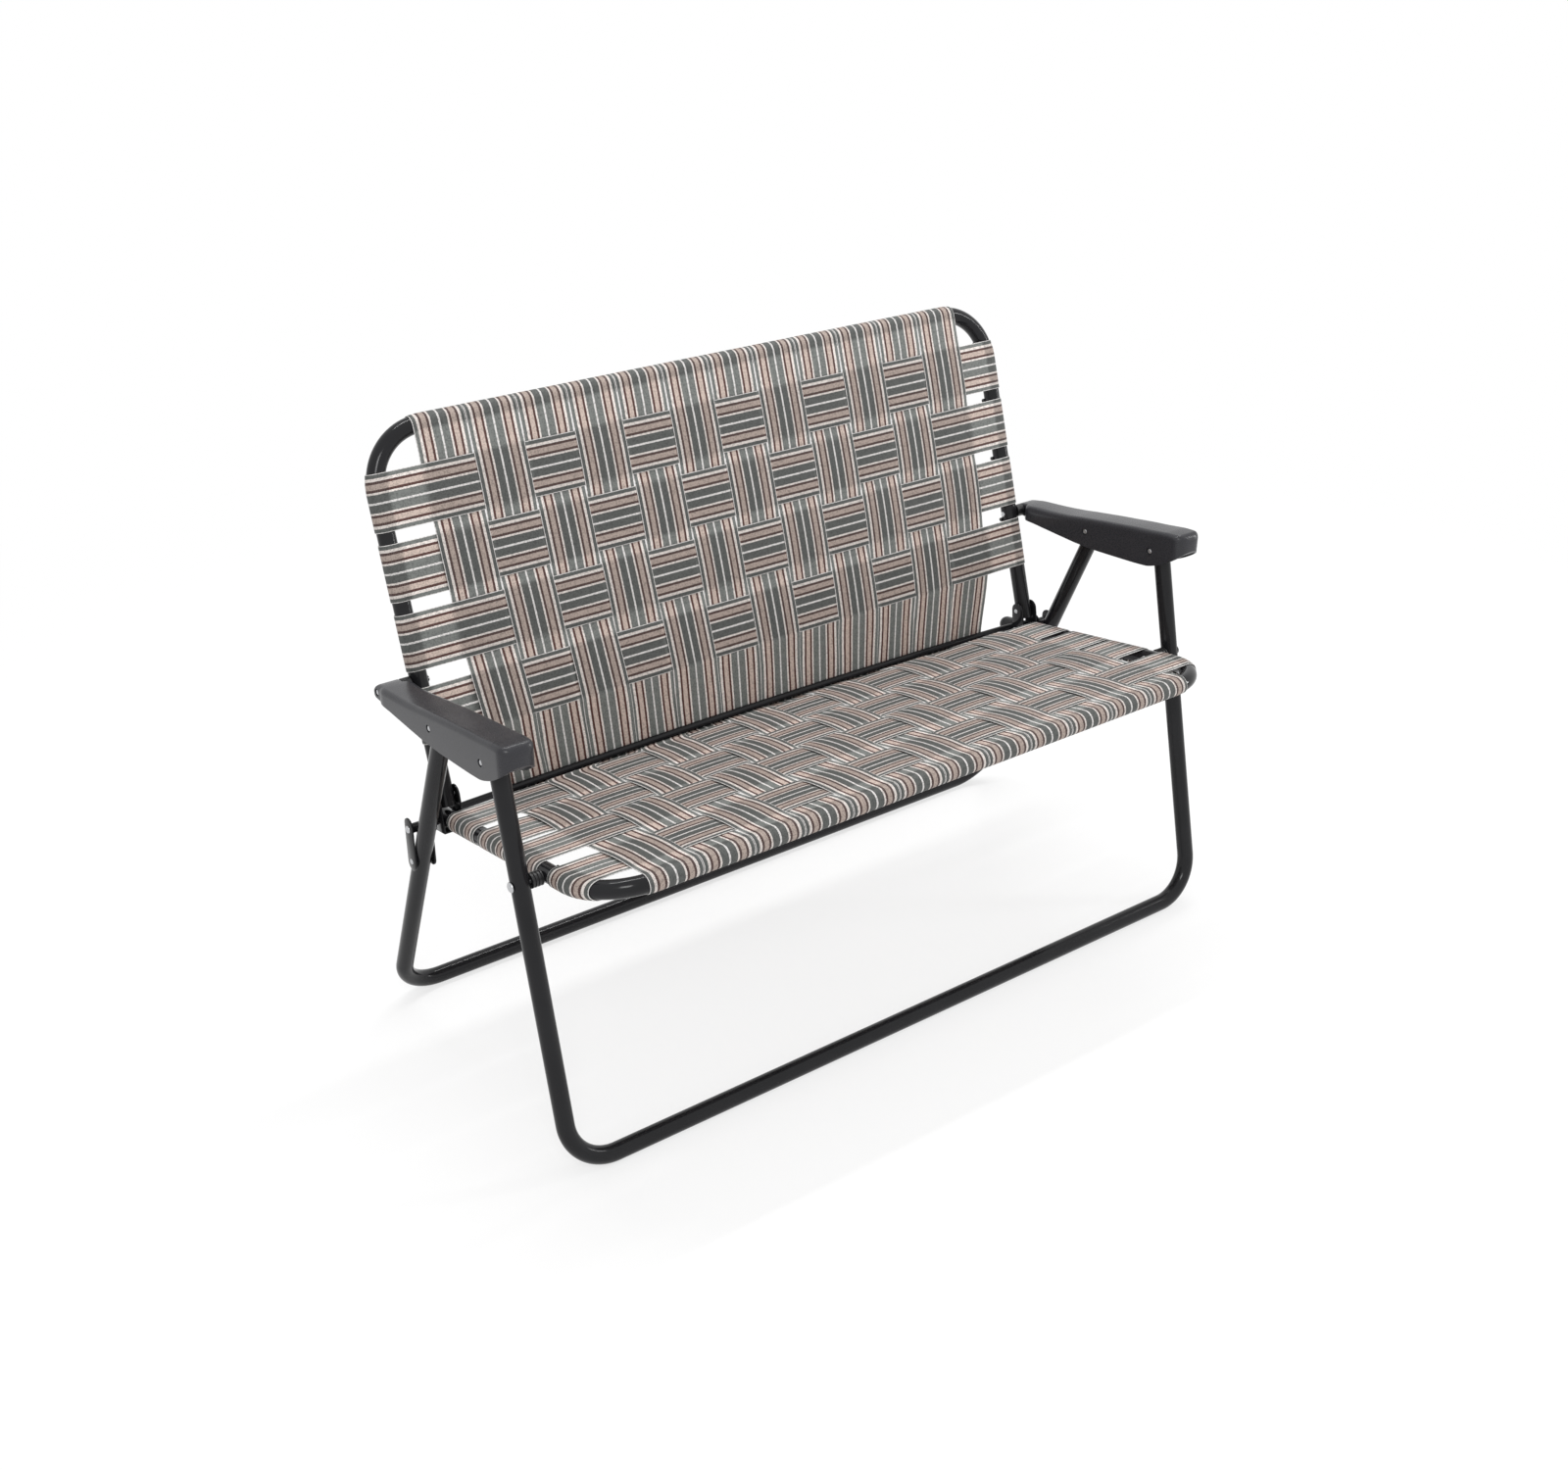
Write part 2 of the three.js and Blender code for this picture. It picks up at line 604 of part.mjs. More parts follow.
// One section across the arm, drawn in by the inset and let down below the underside by the overrun
function armSection(along, inset, overrun) {
    const y = armRearEnd - armLength * along;
    const line = armBackPivot[1] + (armBackPivot[0] - y) * armForward[1] / -armForward[0];
    const under = line - armDepth * armValue(armUnderShares, along) - overrun;
    const top = line + armDepth * armValue(armTopShares, along) - inset;
    const open = armValue(armWidthShares, along);
    const inner = legHalfWidth - noseInnerReach - (armInnerReach - noseInnerReach) * open + inset;
    const outer = legHalfWidth + noseOuterReach + (armOuterReach - noseOuterReach) * open - inset;
    const edge = Math.min(armEdgeRadius - inset, (top - under) / 3, (outer - inner) / 3);
    return [
        [inner, y, under],
        [outer, y, under],
        ...arc([outer - edge, top - edge], edge, 0, Math.PI / 2, 2).map(([x, z]) => [x, y, z]),
        ...arc([inner + edge, top - edge], edge, Math.PI / 2, Math.PI, 2).map(([x, z]) => [x, y, z]),
    ];
}

function mirrored(rings, side) {
    return rings.map((ring) => ring.map(([x, y, z]) => [side * x, y, z]));
}

const armWallShare = armWall / armLength;
const armOuterRings = armAlongShares.map((along) => armSection(along, 0, 0));
const armHollowShares = [armWallShare, ...armAlongShares.filter((along) => along > armWallShare * 2
    && along < 1 - armWallShare * 2), 1 - armWallShare];
const armHollowRings = armHollowShares.map((along) => armSection(along, armWall, armWall + cutOverrun));

function armDisc(side, x0, x1, centre, radius) {
    return toSolid(turned([[side * x0, radius], [side * x1, radius]], centre, pinSides));
}

for (const [name, side] of sides) {
    let arm = toSolid(loft(mirrored(armOuterRings, side)));
    arm = arm.subtract(toSolid(loft(mirrored(armHollowRings, side))));
    const [innerFace, outerFace] = armSides;
    for (const centre of [armRearPivot, armFrontPivot]) {
        arm = arm.add(armDisc(side, innerFace + armWall / 2, legInner - fitGap, centre, armBossRadius));
        arm = arm.add(armDisc(side, legOuter + fitGap, outerFace - armWall / 2, centre, armBossRadius));
        arm = arm.subtract(armDisc(side, innerFace - cutOverrun, innerFace + armRecessDepth, centre, armRecessRadius));
        arm = arm.subtract(armDisc(side, outerFace - armRecessDepth, outerFace + cutOverrun, centre, armRecessRadius));
    }
    const noseWall = [noseInnerFace + armWall / 2, noseOuterFace - armWall / 2];
    arm = arm.add(armDisc(side, noseWall[0], noseWall[1], armBackPivot, noseBossRadius));
    const noseRecess = [noseOuterFace - armRecessDepth, noseOuterFace + cutOverrun];
    arm = arm.subtract(armDisc(side, noseRecess[0], noseRecess[1], armBackPivot, armRivetHeadRadius + boreGap * 2));
    for (const centre of [armRearPivot, armBackPivot]) {
        arm = arm.subtract(bore(side * (innerFace - cutOverrun), side * (outerFace + cutOverrun), centre, pinRadius));
    }
    // The front rivet is a short stub in each wall, so its heads belong to the arm
    const stubs = [[innerFace + armRecessDepth, -1], [outerFace - armRecessDepth, 1]];
    for (const [face, way] of stubs) {
        const stub = [[face - way * (armWall - armRecessDepth), armRivetHeadRadius],
            ...domedHead(face, way, armRivetHeadRadius, rivetHeadHeight)];
        arm = arm.add(toSolid(turned(stub.map(([x, radius]) => [side * x, radius]), armFrontPivot, pinSides)));
    }
    addMesh('arm_' + name, fromSolid(arm), armLook);
}

// Webbing: flat strips, each built as columns of points along its length

// Offsets a line of [a, b] points to its left by the given length, with mitred corners
function offsetLine(points, length) {
    return points.map((point, i) => {
        const before = unit(minus(point, points[Math.max(0, i - 1)]));
        const after = unit(minus(points[Math.min(points.length - 1, i + 1)], point));
        const first = i === 0 ? after : before;
        const last = i === points.length - 1 ? before : after;
        const normal = unit([-(first[1] + last[1]), first[0] + last[0]]);
        const stretch = length / (normal[0] * -last[1] + normal[1] * last[0]);
        return [point[0] + normal[0] * stretch, point[1] + normal[1] * stretch];
    });
}

// Columns are [outer points, inner points] pairs that lie side by side across the strip
function stripSolid(columns) {
    const rows = columns[0][0].length;
    const rings = [];
    for (let row = 0; row < rows; row++) {
        const ring = columns.map((column) => column[0][row]);
        for (let i = columns.length - 1; i >= 0; i--) ring.push(columns[i][1][row]);
        rings.push(ring);
    }
    const count = rings[0].length;
    const indices = [];
    const cap = (start, flip) => {
        for (let i = 0; i + 1 < columns.length; i++) {
            const [a, b, c, d] = [start + i, start + i + 1, start + count - 2 - i, start + count - 1 - i];
            indices.push(...(flip ? [a, c, b, a, d, c] : [a, b, c, a, c, d]));
        }
    };
    for (let i = 0; i + 1 < rows; i++) {
        for (let j = 0; j < count; j++) {
            const [a, b] = [i * count + j, i * count + (j + 1) % count];
            indices.push(a, b + count, b, a, a + count, b + count);
        }
    }
    cap(0, false);
    cap((rows - 1) * count, true);
    return closedSurface(rings.flat(2), indices);
}

// Corners of the wrap round a bar, from its far end to the strip's plane. Where the bar slants
// under the strip, the wrap is as much wider as the slanted cut through the bar.
function wrapCorners(place, bend) {
    const corner = webRadius / Math.cos(webWrapAngle / webWrapSteps / 2);
    const at = (turn, reach) => [place + bend - reach * Math.sin(turn) / bendLean(bend), reach * Math.cos(turn)];
    const points = Array.from({ length: webWrapSteps }, (_, i) =>
        at(webWrapAngle * (1 - (i + 1 / 2) / webWrapSteps), corner));
    return [at(webWrapAngle, webRadius), ...points];
}

// How far a frame's tube has bent away, this far past the start of its bend
function bendDrop(past) {
    return panelBendRadius - Math.sqrt(panelBendRadius ** 2 - Math.max(0, past) ** 2);
}

// Cosine of the tube's slant where it has bent away by this much
function bendLean(drop) {
    return 1 - drop / panelBendRadius;
}

// Each long strip is made in two halves that meet under the crease bar.
// In a panel's own plane: down is the distance from its bar, out the height over its centre plane
const backPanel = {
    name: 'back', origin: topBar, down: [-backUp[0], -backUp[1]], out: backFront,
    planeEnd: backRowPlaces.at(-1) + webWidth / 2 + webLayerGap, drawInLength: backDrawInLength,
};
const seatPanel = {
    name: 'seat', origin: frontBar, down: railBack, out: railUp,
    planeEnd: seatPivotToFrontBar + seatPivotToCreaseBar - seatPlaneSetback, drawInLength: seatDrawInLength,
};

function inPanel(panel, place) {
    const from = minus(place, panel.origin);
    return [dot(from, panel.down), dot(from, panel.out)];
}

function fromPanel(panel, x, [down, out]) {
    const place = plus(plus(panel.origin, panel.down, down), panel.out, out);
    return [x, place[0], place[1]];
}

function longPath(panel, x) {
    const points = wrapCorners(0, bendDrop(Math.abs(x) - bendStart));
    const leave = [panel.planeEnd, webRadius];
    points.push(leave);
    // straight on to the crease bar, touching it on its far side
    const centre = inPanel(panel, creaseCentre(drawnIn(panel, x, inPanel(panel, creasePivot)[0])));
    const reach = minus(centre, leave);
    const way = unit(reach);
    const turn = Math.asin(creaseWebRadius / size(reach));
    const line = [way[0] * Math.cos(turn) + way[1] * Math.sin(turn), way[1] * Math.cos(turn) - way[0] * Math.sin(turn)];
    const touch = Math.atan2(-line[0], line[1]);
    const bowInPanel = minus(inPanel(panel, plus(creasePivot, bowWay, -1)), inPanel(panel, creasePivot));
    let meet = Math.atan2(bowInPanel[1], bowInPanel[0]);
    if (meet < touch) meet += 2 * Math.PI;
    meet -= webCreaseGap / creaseWebRadius;
    const steps = 3;
    const corner = creaseWebRadius / Math.cos((meet - touch) / steps / 2);
    for (let i = 0; i < steps; i++) {
        const angle = touch + (meet - touch) * (i + 1 / 2) / steps;
        points.push([centre[0] + corner * Math.cos(angle), centre[1] + corner * Math.sin(angle)]);
    }
    points.push([centre[0] + creaseWebRadius * Math.cos(meet), centre[1] + creaseWebRadius * Math.sin(meet)]);
    return points;
}

// Strips draw together towards the crease bar
function drawnIn(panel, x, down) {
    const full = inPanel(panel, creasePivot)[0];
    const share = Math.min(1, Math.max(0, (down - full + panel.drawInLength) / panel.drawInLength));
    return x * (1 - webDrawIn / webOutermost * share ** 2);
}

// Extra corners where the strip curves in, so its edges follow the draw
function withStations(points, panel) {
    const full = inPanel(panel, creasePivot)[0];
    const result = [];
    for (let i = 0; i < points.length; i++) {
        result.push(points[i]);
        const next = points[i + 1];
        if (!next || next[0] - points[i][0] < webWidth / 3) continue;
        for (const share of [1, 2 / 3, 1 / 3]) {
            const down = full - panel.drawInLength * share;
            if (down <= points[i][0] + webThickness || down >= next[0] - webThickness) continue;
            const part = (down - points[i][0]) / (next[0] - points[i][0]);
            result.push([down, points[i][1] + (next[1] - points[i][1]) * part]);
        }
    }
    return result;
}

for (const panel of [backPanel, seatPanel]) {
    for (let i = 0; i < webCount; i++) {
        const middle = webPitch * (i - (webCount - 1) / 2);
        const edges = [middle - webWidth / 2, middle + webWidth / 2];
        const outside = Math.sign(middle) * Math.max(Math.abs(edges[0]), Math.abs(edges[1]));
        const bendPlaces = [0, 1 / 2].map((share) =>
            Math.sign(middle) * bendStart + (outside - Math.sign(middle) * bendStart) * share);
        const between = bendPlaces.filter((x) => x > edges[0] + webThickness && x < edges[1] - webThickness);
        const places = [...edges, ...between].sort((a, b) => a - b);
        const columns = places.map((x) => {
            const line = withStations(longPath(panel, x), panel);
            return [webThickness / 2, -webThickness / 2].map((height) => offsetLine(line, height).map((point, j) =>
                fromPanel(panel, drawnIn(panel, x, line[j][0]), point)));
        });
        addMesh('long_web_' + panel.name + '_' + (i + 1), stripSolid(columns), webLook);
    }
}

// Cross strips wrap both side tubes and run just under the long strips between them

function crossPath(down) {
    const bend = bendDrop(panelBendRadius - down);
    const centre = panelHalfWidth - bend;
    const low = webRadius - webThickness - webLayerGap;
    const half = [
        ...wrapCorners(-panelHalfWidth, bend),
        [-(centre - tubeReach - rowDipStart), webRadius],
        [-(webOutermost + rowDipEnd), low],
    ];
    return [...half, ...half.map(([x, out]) => [-x, out]).reverse()];
}

const panelLength = seatPivotToFrontBar + seatPivotToCreaseBar;
const rows = [
    [backPanel, backRowPlaces],
    [seatPanel, seatRowPlaces.map((place) => panelLength - place)],
];
for (const [panel, places] of rows) {
    places.forEach((place, i) => {
        const [first, last] = [place - webWidth / 2, place + webWidth / 2];
        const bent = Math.max(first, Math.min(last, panelBendRadius));
        const between = [1 / 4, 1 / 2, 3 / 4, 1].map((share) => first + (bent - first) * share);
        const downs = [first, ...between.filter((down) => down > first + webThickness && down < last - webThickness), last];
        const columns = downs.map((down) => {
            const line = crossPath(down);
            return [webThickness / 2, -webThickness / 2].map((height) => offsetLine(line, height).map(([x, out]) =>
                fromPanel(panel, x, [down, out])));
        });
        addMesh('cross_web_' + panel.name + '_' + (i + 1), stripSolid(columns), webLook);
    });
}

export default group;
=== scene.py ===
import json
import math

import bmesh
import bpy
import numpy as np
from mathutils import Matrix, Vector


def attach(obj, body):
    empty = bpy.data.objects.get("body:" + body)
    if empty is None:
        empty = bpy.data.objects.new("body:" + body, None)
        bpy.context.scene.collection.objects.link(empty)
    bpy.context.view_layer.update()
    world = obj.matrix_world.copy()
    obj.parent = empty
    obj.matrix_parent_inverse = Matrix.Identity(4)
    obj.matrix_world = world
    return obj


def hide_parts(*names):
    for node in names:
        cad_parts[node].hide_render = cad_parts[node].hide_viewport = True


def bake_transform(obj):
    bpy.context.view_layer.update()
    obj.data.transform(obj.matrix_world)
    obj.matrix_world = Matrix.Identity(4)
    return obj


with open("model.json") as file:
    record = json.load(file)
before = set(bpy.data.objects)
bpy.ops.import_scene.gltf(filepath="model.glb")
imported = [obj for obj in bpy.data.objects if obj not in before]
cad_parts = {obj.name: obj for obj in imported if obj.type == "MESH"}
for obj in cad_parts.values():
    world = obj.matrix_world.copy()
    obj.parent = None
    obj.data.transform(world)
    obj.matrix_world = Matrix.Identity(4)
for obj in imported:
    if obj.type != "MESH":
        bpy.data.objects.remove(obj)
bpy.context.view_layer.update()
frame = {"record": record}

bl_info = {
    "name": "Folding Camping Bench",
    "version": (1, 0, 0),
    "blender": (4, 5, 0),
    "location": "View3D > Sidebar > Bench",
    "description": "Makes a folding two seat bench of bent tube, woven straps and moulded arm rests",
    "category": "Object",
}

# Metres, +Z up, +X to the right of someone looking at the front, the front faces -Y.
# Side view places and directions are (y, z) pairs.

MM = 0.001


def pivot(joint_name):
    """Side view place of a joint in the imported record."""
    for joint in frame["record"]["behaviour"]["joints"]:
        if joint["name"] == joint_name:
            return tuple(joint["pos_m"][1:])
    raise ValueError(f"the record has no joint named {joint_name}")


# Side view
HINGE = pivot("back_fold")
CREASE = pivot("link_fold")
SEAT_PIVOT = pivot("front_leg_fold")
ARM_BACK_PIVOT = pivot("arm_fold")
ARM_REAR_PIVOT = pivot("rear_leg_fold")
FRONT_LEG_LEAN = math.radians(13.17)
REAR_LEG_LEAN = math.radians(23.4)
SEAT_PITCH = math.radians(10.24)
BACK_LEAN = math.radians(17.12)
FOOT_HEIGHT = 11.1 * MM
FRONT_FOOT = (-217.51 * MM, FOOT_HEIGHT)
ARM_PIVOT_RISE = 146.2 * MM
LEG_TAIL = 12 * MM
REAR_LEG_TAIL = 8 * MM
TO_FRONT_BAR = 108.7 * MM
RAIL_TAIL = 33 * MM
RAIL_CAP = 9 * MM
ROD_SETBACK = 12 * MM
ROD_RISE = 2.2 * MM
TO_TOP_BAR = 436.7 * MM
UPRIGHT_TAIL = 12 * MM
TO_LINK_PIVOT = 242.5 * MM

# Front view, as distances from the middle of the bench
LEG_HALF_WIDTH = 508 * MM
PANEL_HALF_WIDTH = 470.6 * MM
LEG_BEND = 58 * MM
PANEL_BEND = 70 * MM
PANEL_INNER = 459.28 * MM
# Just off the inner and outer side of a rail or upright, of a bracket, and of a leg
RAIL_SIDES = (458.98 * MM, 482.22 * MM)
CHEEK_SIDES = (456.18 * MM, 485.02 * MM)
LEG_SIDES = (496.38 * MM, 519.62 * MM)
LINK_SHEET = 2.3 * MM
LINK_SIDES = (LEG_SIDES[0] - LINK_SHEET, LEG_SIDES[1] + LINK_SHEET)

# Webbing
STRAP_COUNT = 12
STRAP_PITCH = 69.1 * MM
BACK_ROWS = [79.7 * MM, 162.5 * MM, 246 * MM, 335 * MM]
SEAT_ROWS = [58 * MM, 138.5 * MM, 212 * MM, 305.5 * MM]
ROW_HALF = 34.2 * MM
CROSSED_HALF = 34.35 * MM
STRAP_PLANE = 11.5 * MM
TUBE_GAP = 0.2 * MM
ROD_GAP = 0.15 * MM
WRAP_ANGLE = math.radians(236)
ROWS_DRAW_IN = 11 * MM
ROD_DRAW_IN = 8 * MM
ROD_DRAW_ASIDE = 8 * MM
BACK_DRAW_START = 130 * MM
SEAT_DRAW_LENGTH = 40 * MM
RIPPLE_LENGTH = 38 * MM
RIPPLE_SHIFT = 2.1
# How far past its centre line a tube still darkens a strap fully with painted shade
BAR_SHADE = 6 * MM
SIDE_TUBE_SHADE = 8 * MM
# Steps along a strap: down the back, on to the rod, round it, on to the seat, along it, and across a panel
BACK_STEPS, DROP_STEPS, ROD_STEPS, RISE_STEPS, SEAT_STEPS, CROSS_STEPS = 78, 16, 14, 6, 74, 232


def plus(a, b, length=1.0):
    return (a[0] + b[0] * length, a[1] + b[1] * length)


def minus(a, b):
    return (a[0] - b[0], a[1] - b[1])


def dot(a, b):
    return a[0] * b[0] + a[1] * b[1]


def unit(a):
    length = math.hypot(*a)
    return (a[0] / length, a[1] / length)


RAIL_BACK = (math.cos(SEAT_PITCH), -math.sin(SEAT_PITCH))
RAIL_UP = (math.sin(SEAT_PITCH), math.cos(SEAT_PITCH))
BACK_UP = (math.sin(BACK_LEAN), math.cos(BACK_LEAN))
BACK_DOWN = (-math.sin(BACK_LEAN), -math.cos(BACK_LEAN))
BACK_FRONT = (-math.cos(BACK_LEAN), math.sin(BACK_LEAN))
FRONT_LEG_UP = (math.sin(FRONT_LEG_LEAN), math.cos(FRONT_LEG_LEAN))
REAR_LEG_DOWN = (math.sin(REAR_LEG_LEAN), -math.cos(REAR_LEG_LEAN))
ARM_FRONT_PIVOT = plus(SEAT_PIVOT, FRONT_LEG_UP, ARM_PIVOT_RISE)
FRONT_BAR = plus(SEAT_PIVOT, RAIL_BACK, -TO_FRONT_BAR)
TOP_BAR = plus(HINGE, BACK_UP, TO_TOP_BAR)
LINK_PIVOT = plus(ARM_REAR_PIVOT, REAR_LEG_DOWN, TO_LINK_PIVOT)
BOW_WAY = unit(minus(BACK_UP, RAIL_BACK))
# A panel: its bar, the way along its tubes from the bar to the crease, and the way out of its face
BACK_PANEL = (TOP_BAR, BACK_DOWN, BACK_FRONT)
SEAT_PANEL = (FRONT_BAR, RAIL_BACK, RAIL_UP)
BACK_FULL = dot(minus(CREASE, TOP_BAR), BACK_DOWN)
SEAT_FULL = dot(minus(CREASE, FRONT_BAR), RAIL_BACK)


def panel_place(panel, down, out):
    """Side view place this far down a panel from its bar, and this far out of its face."""
    bar, down_way, out_way = panel
    return plus(plus(bar, down_way, down), out_way, out)


def rail_place(along, up):
    """Side view place this far behind the crease pivot along the rail, and above it."""
    return panel_place((CREASE, RAIL_BACK, RAIL_UP), along, up)


def clamped(value):
    return min(1.0, max(0.0, value))


def smooth_step(start, end, at):
    share = clamped((at - start) / (end - start))
    return share * share * (3 - 2 * share)


def linear(hex_colour):
    """sRGB hex to linear red, green, blue and full alpha."""
    parts = [int(hex_colour[i:i + 2], 16) / 255 for i in (1, 3, 5)]
    return tuple(c / 12.92 if c <= 0.04045 else ((c + 0.055) / 1.055) ** 2.4 for c in parts) + (1.0,)


def length_property(name, description, default_mm):
    return bpy.props.FloatProperty(name=name, description=description, default=default_mm * MM,
                                   min=0.0, precision=5, unit="LENGTH")


def colour_property(name, description, hex_colour):
    return bpy.props.FloatVectorProperty(name=name, description=description, default=linear(hex_colour),
                                         size=4, min=0.0, max=1.0, subtype="COLOR")


class BenchSizes(bpy.types.PropertyGroup):
    """Sizes of the bench's tubes, straps and fasteners."""
    tube_diameter: length_property("Tube diameter", "Outside diameter of the frame tubes", 22.2)
    crease_rod_diameter: length_property("Crease rod diameter", "Diameter of the rod at the crease", 9.5)
    crease_rod_bow: length_property("Crease rod bow", "How far the straps pull the rod up", 12.6)
    strap_width: length_property("Strap width", "Width of a webbing strap", 68.2)
    strap_thickness: length_property("Strap thickness", "Thickness of a webbing strap", 1.0)
    strap_lift: length_property("Strap lift", "Height of a strap over the middle of the weave", 0.62)
    seat_bulge: length_property("Seat bulge", "How far a seat strap arches over another", 2.0)
    back_bulge: length_property("Back bulge", "How far a back strap arches over another", 0.7)
    arm_wall: length_property("Arm wall", "Wall thickness of the moulded arm rests", 3.0)
    arm_edge_radius: length_property("Arm edge radius", "Rounding along the top edges of the arm rests", 7.0)
    head_radius: length_property("Bolt head radius", "Radius of the domed bolt heads", 6.4)
    head_height: length_property("Bolt head height", "Height of the domed bolt heads", 3.0)


class BenchColours(bpy.types.PropertyGroup):
    """Colours of the bench's finishes."""
    coat: colour_property("Powder coat", "Dark grey powder coat of the tubes and brackets", "#1b1b1d")
    plastic: colour_property("Arm plastic", "Dark grey moulded plastic of the arm rests", "#2b2b2f")
    black: colour_property("Black nylon", "Black moulded nylon of the spacers and clips", "#18181a")
    steel: colour_property("Zinc plated steel", "Bright fasteners", "#c4c5c7")
    grey_green: colour_property("Strap grey green", "Wide stripes of the straps", "#747774")
    cream: colour_property("Strap cream", "Pale stripes of the straps", "#ebe2dc")
    rust: colour_property("Strap rust", "Thin rust brown lines of the straps", "#431209")
    tan: colour_property("Strap tan", "Tan stripes of the straps", "#ccb9ae")
    line: colour_property("Strap centre line", "Off white line along the middle of a strap", "#e2dfdd")
    floor: colour_property("Floor", "Plain pale studio floor", "#fafafa")


def sizes():
    return bpy.context.scene.bench_sizes


def colours():
    return bpy.context.scene.bench_colours


# Nodes and materials

def add(tree, kind, settings=None, inputs=None):
    """Adds a node, sets its properties, and links or fills its inputs."""
    item = tree.nodes.new(kind)
    for key, value in (settings or {}).items():
        setattr(item, key, value)
    for key, value in (inputs or {}).items():
        if isinstance(value, bpy.types.NodeSocket):
            tree.links.new(value, item.inputs[key])
        else:
            item.inputs[key].default_value = value
    return item


def made_once(store, name, make):
    """The material or node tree of that name, made on its first use."""
    return store.get(name) or make(name)


def start_material(name, constants):
    """A new material, its node tree and its shader, with these constants on the shader's own sockets."""
    material = bpy.data.materials.new(name)
    material.use_nodes = True
    tree = material.node_tree
    tree.nodes.clear()
    shader = add(tree, "ShaderNodeBsdfPrincipled", inputs=constants)
    add(tree, "ShaderNodeOutputMaterial", inputs={"Surface": shader.outputs["BSDF"]})
    return material, tree, shader


def ramp(tree, factor, stops, interpolation="LINEAR"):
    """A colour ramp with the given (place, colour) stops."""
    item = add(tree, "ShaderNodeValToRGB", inputs={"Fac": factor})
    item.color_ramp.interpolation = interpolation
    elements = item.color_ramp.elements
    while len(elements) < len(stops):
        elements.new(0.5)
    for element, (place, colour) in zip(elements, stops):
        element.position = place
        element.color = colour
    return item.outputs["Color"]


def grey(level):
    return (level, level, level, 1.0)


def shaded(colour, share):
    return tuple(min(1.0, part * share) for part in colour[:3]) + (1.0,)


def noise(tree, size, detail):
    """Noise in a piece's own space, with features about this large."""
    place = add(tree, "ShaderNodeTexCoord").outputs["Object"]
    item = add(tree, "ShaderNodeTexNoise", inputs={"Vector": place, "Scale": 1 / size, "Detail": detail})
    return item.outputs["Fac"]


def maths(tree, operation, *values):
    return add(tree, "ShaderNodeMath", {"operation": operation}, dict(enumerate(values))).outputs["Value"]


def mixed(tree, share, first, second, way="MIX"):
    """Two colours mixed: a mix node's colours are its sockets 6 and 7, and its result is socket 2."""
    kind = {"data_type": "RGBA", "blend_type": way}
    return add(tree, "ShaderNodeMix", kind, {0: share, 6: first, 7: second}).outputs[2]


def drifting_colour(tree, shader, factor, colour, low, high):
    """Lets the base colour drift between two (place in the noise, share of the colour) stops."""
    stops = [(place, shaded(colour, share)) for place, share in (low, high)]
    tree.links.new(ramp(tree, factor, stops), shader.inputs["Base Color"])


def drifting_gloss(tree, shader, factor, low, high):
    item = add(tree, "ShaderNodeMapRange", inputs={"Value": factor, "From Min": 0.3, "From Max": 0.7,
                                                   "To Min": low, "To Max": high})
    tree.links.new(item.outputs["Result"], shader.inputs["Roughness"])


def relief(tree, shader, factor, strength, height):
    item = add(tree, "ShaderNodeBump", inputs={"Height": factor, "Strength": strength, "Distance": height})
    tree.links.new(item.outputs["Normal"], shader.inputs["Normal"])


def powder_coat(name):
    # Polyester powder coat baked on steel tube: a smooth, fairly glossy dark film with faint orange
    # peel about 2 mm across, so highlights are thin and soften a little along the tube.
    material, tree, shader = start_material(name, {"IOR": 1.47, "Specular IOR Level": 0.25})
    cloud = noise(tree, 60 * MM, 2.0)
    drifting_colour(tree, shader, cloud, colours().coat, (0.3, 0.86), (0.7, 1.14))
    drifting_gloss(tree, shader, cloud, 0.1, 0.15)
    relief(tree, shader, noise(tree, 2 * MM, 1.0), 0.06, 0.1 * MM)
    return material


def moulded_plastic(name):
    # Injection moulded polypropylene from a spark eroded tool: a fine dull grain about 0.6 mm across,
    # drawn at 1 mm so that it shows, with a soft satin sheen along the rounded edges.
    material, tree, shader = start_material(name, {"IOR": 1.49, "Specular IOR Level": 0.36})
    grain = noise(tree, 1 * MM, 3.0)
    drifting_colour(tree, shader, noise(tree, 45 * MM, 2.0), colours().plastic, (0.25, 0.92), (0.75, 1.08))
    drifting_gloss(tree, shader, grain, 0.24, 0.32)
    relief(tree, shader, grain, 0.12, 0.15 * MM)
    return material


def black_nylon(name):
    # Moulded black nylon: near black with a faint mould texture about 1.5 mm across and a dull sheen.
    material, tree, shader = start_material(name, {"IOR": 1.53, "Roughness": 0.42})
    grain = noise(tree, 1.5 * MM, 2.0)
    drifting_colour(tree, shader, grain, colours().black, (0.3, 0.8), (0.7, 1.25))
    relief(tree, shader, grain, 0.1, 0.1 * MM)
    return material


def zinc_plate(name):
    # Bright zinc plate on pressed steel: a cool pale metal with slightly uneven polish about 3 mm across.
    material, tree, shader = start_material(name, {"Metallic": 1.0})
    cloud = noise(tree, 3 * MM, 3.0)
    drifting_colour(tree, shader, cloud, colours().steel, (0.3, 0.85), (0.7, 1.0))
    drifting_gloss(tree, shader, cloud, 0.24, 0.36)
    return material


# Stripes from a strap's middle to its edge, as (end of stripe in mm from the middle, colour name)
STRIPES = [(1.1, "line"), (10.4, "grey_green"), (12.8, "cream"), (15.9, "rust"), (22.3, "tan"),
           (25.4, "rust"), (28.8, "cream"), (33.2, "grey_green"), (34.1, "line")]
STRIPE_HALF = 34.1
# Painted shade: what is left of each colour where another strap or a tube lies behind and no light comes
# through
BACKED_PAINTED_SHADE = {"line": 0.84, "grey_green": 0.42, "cream": 0.76, "rust": 0.5, "tan": 0.6}


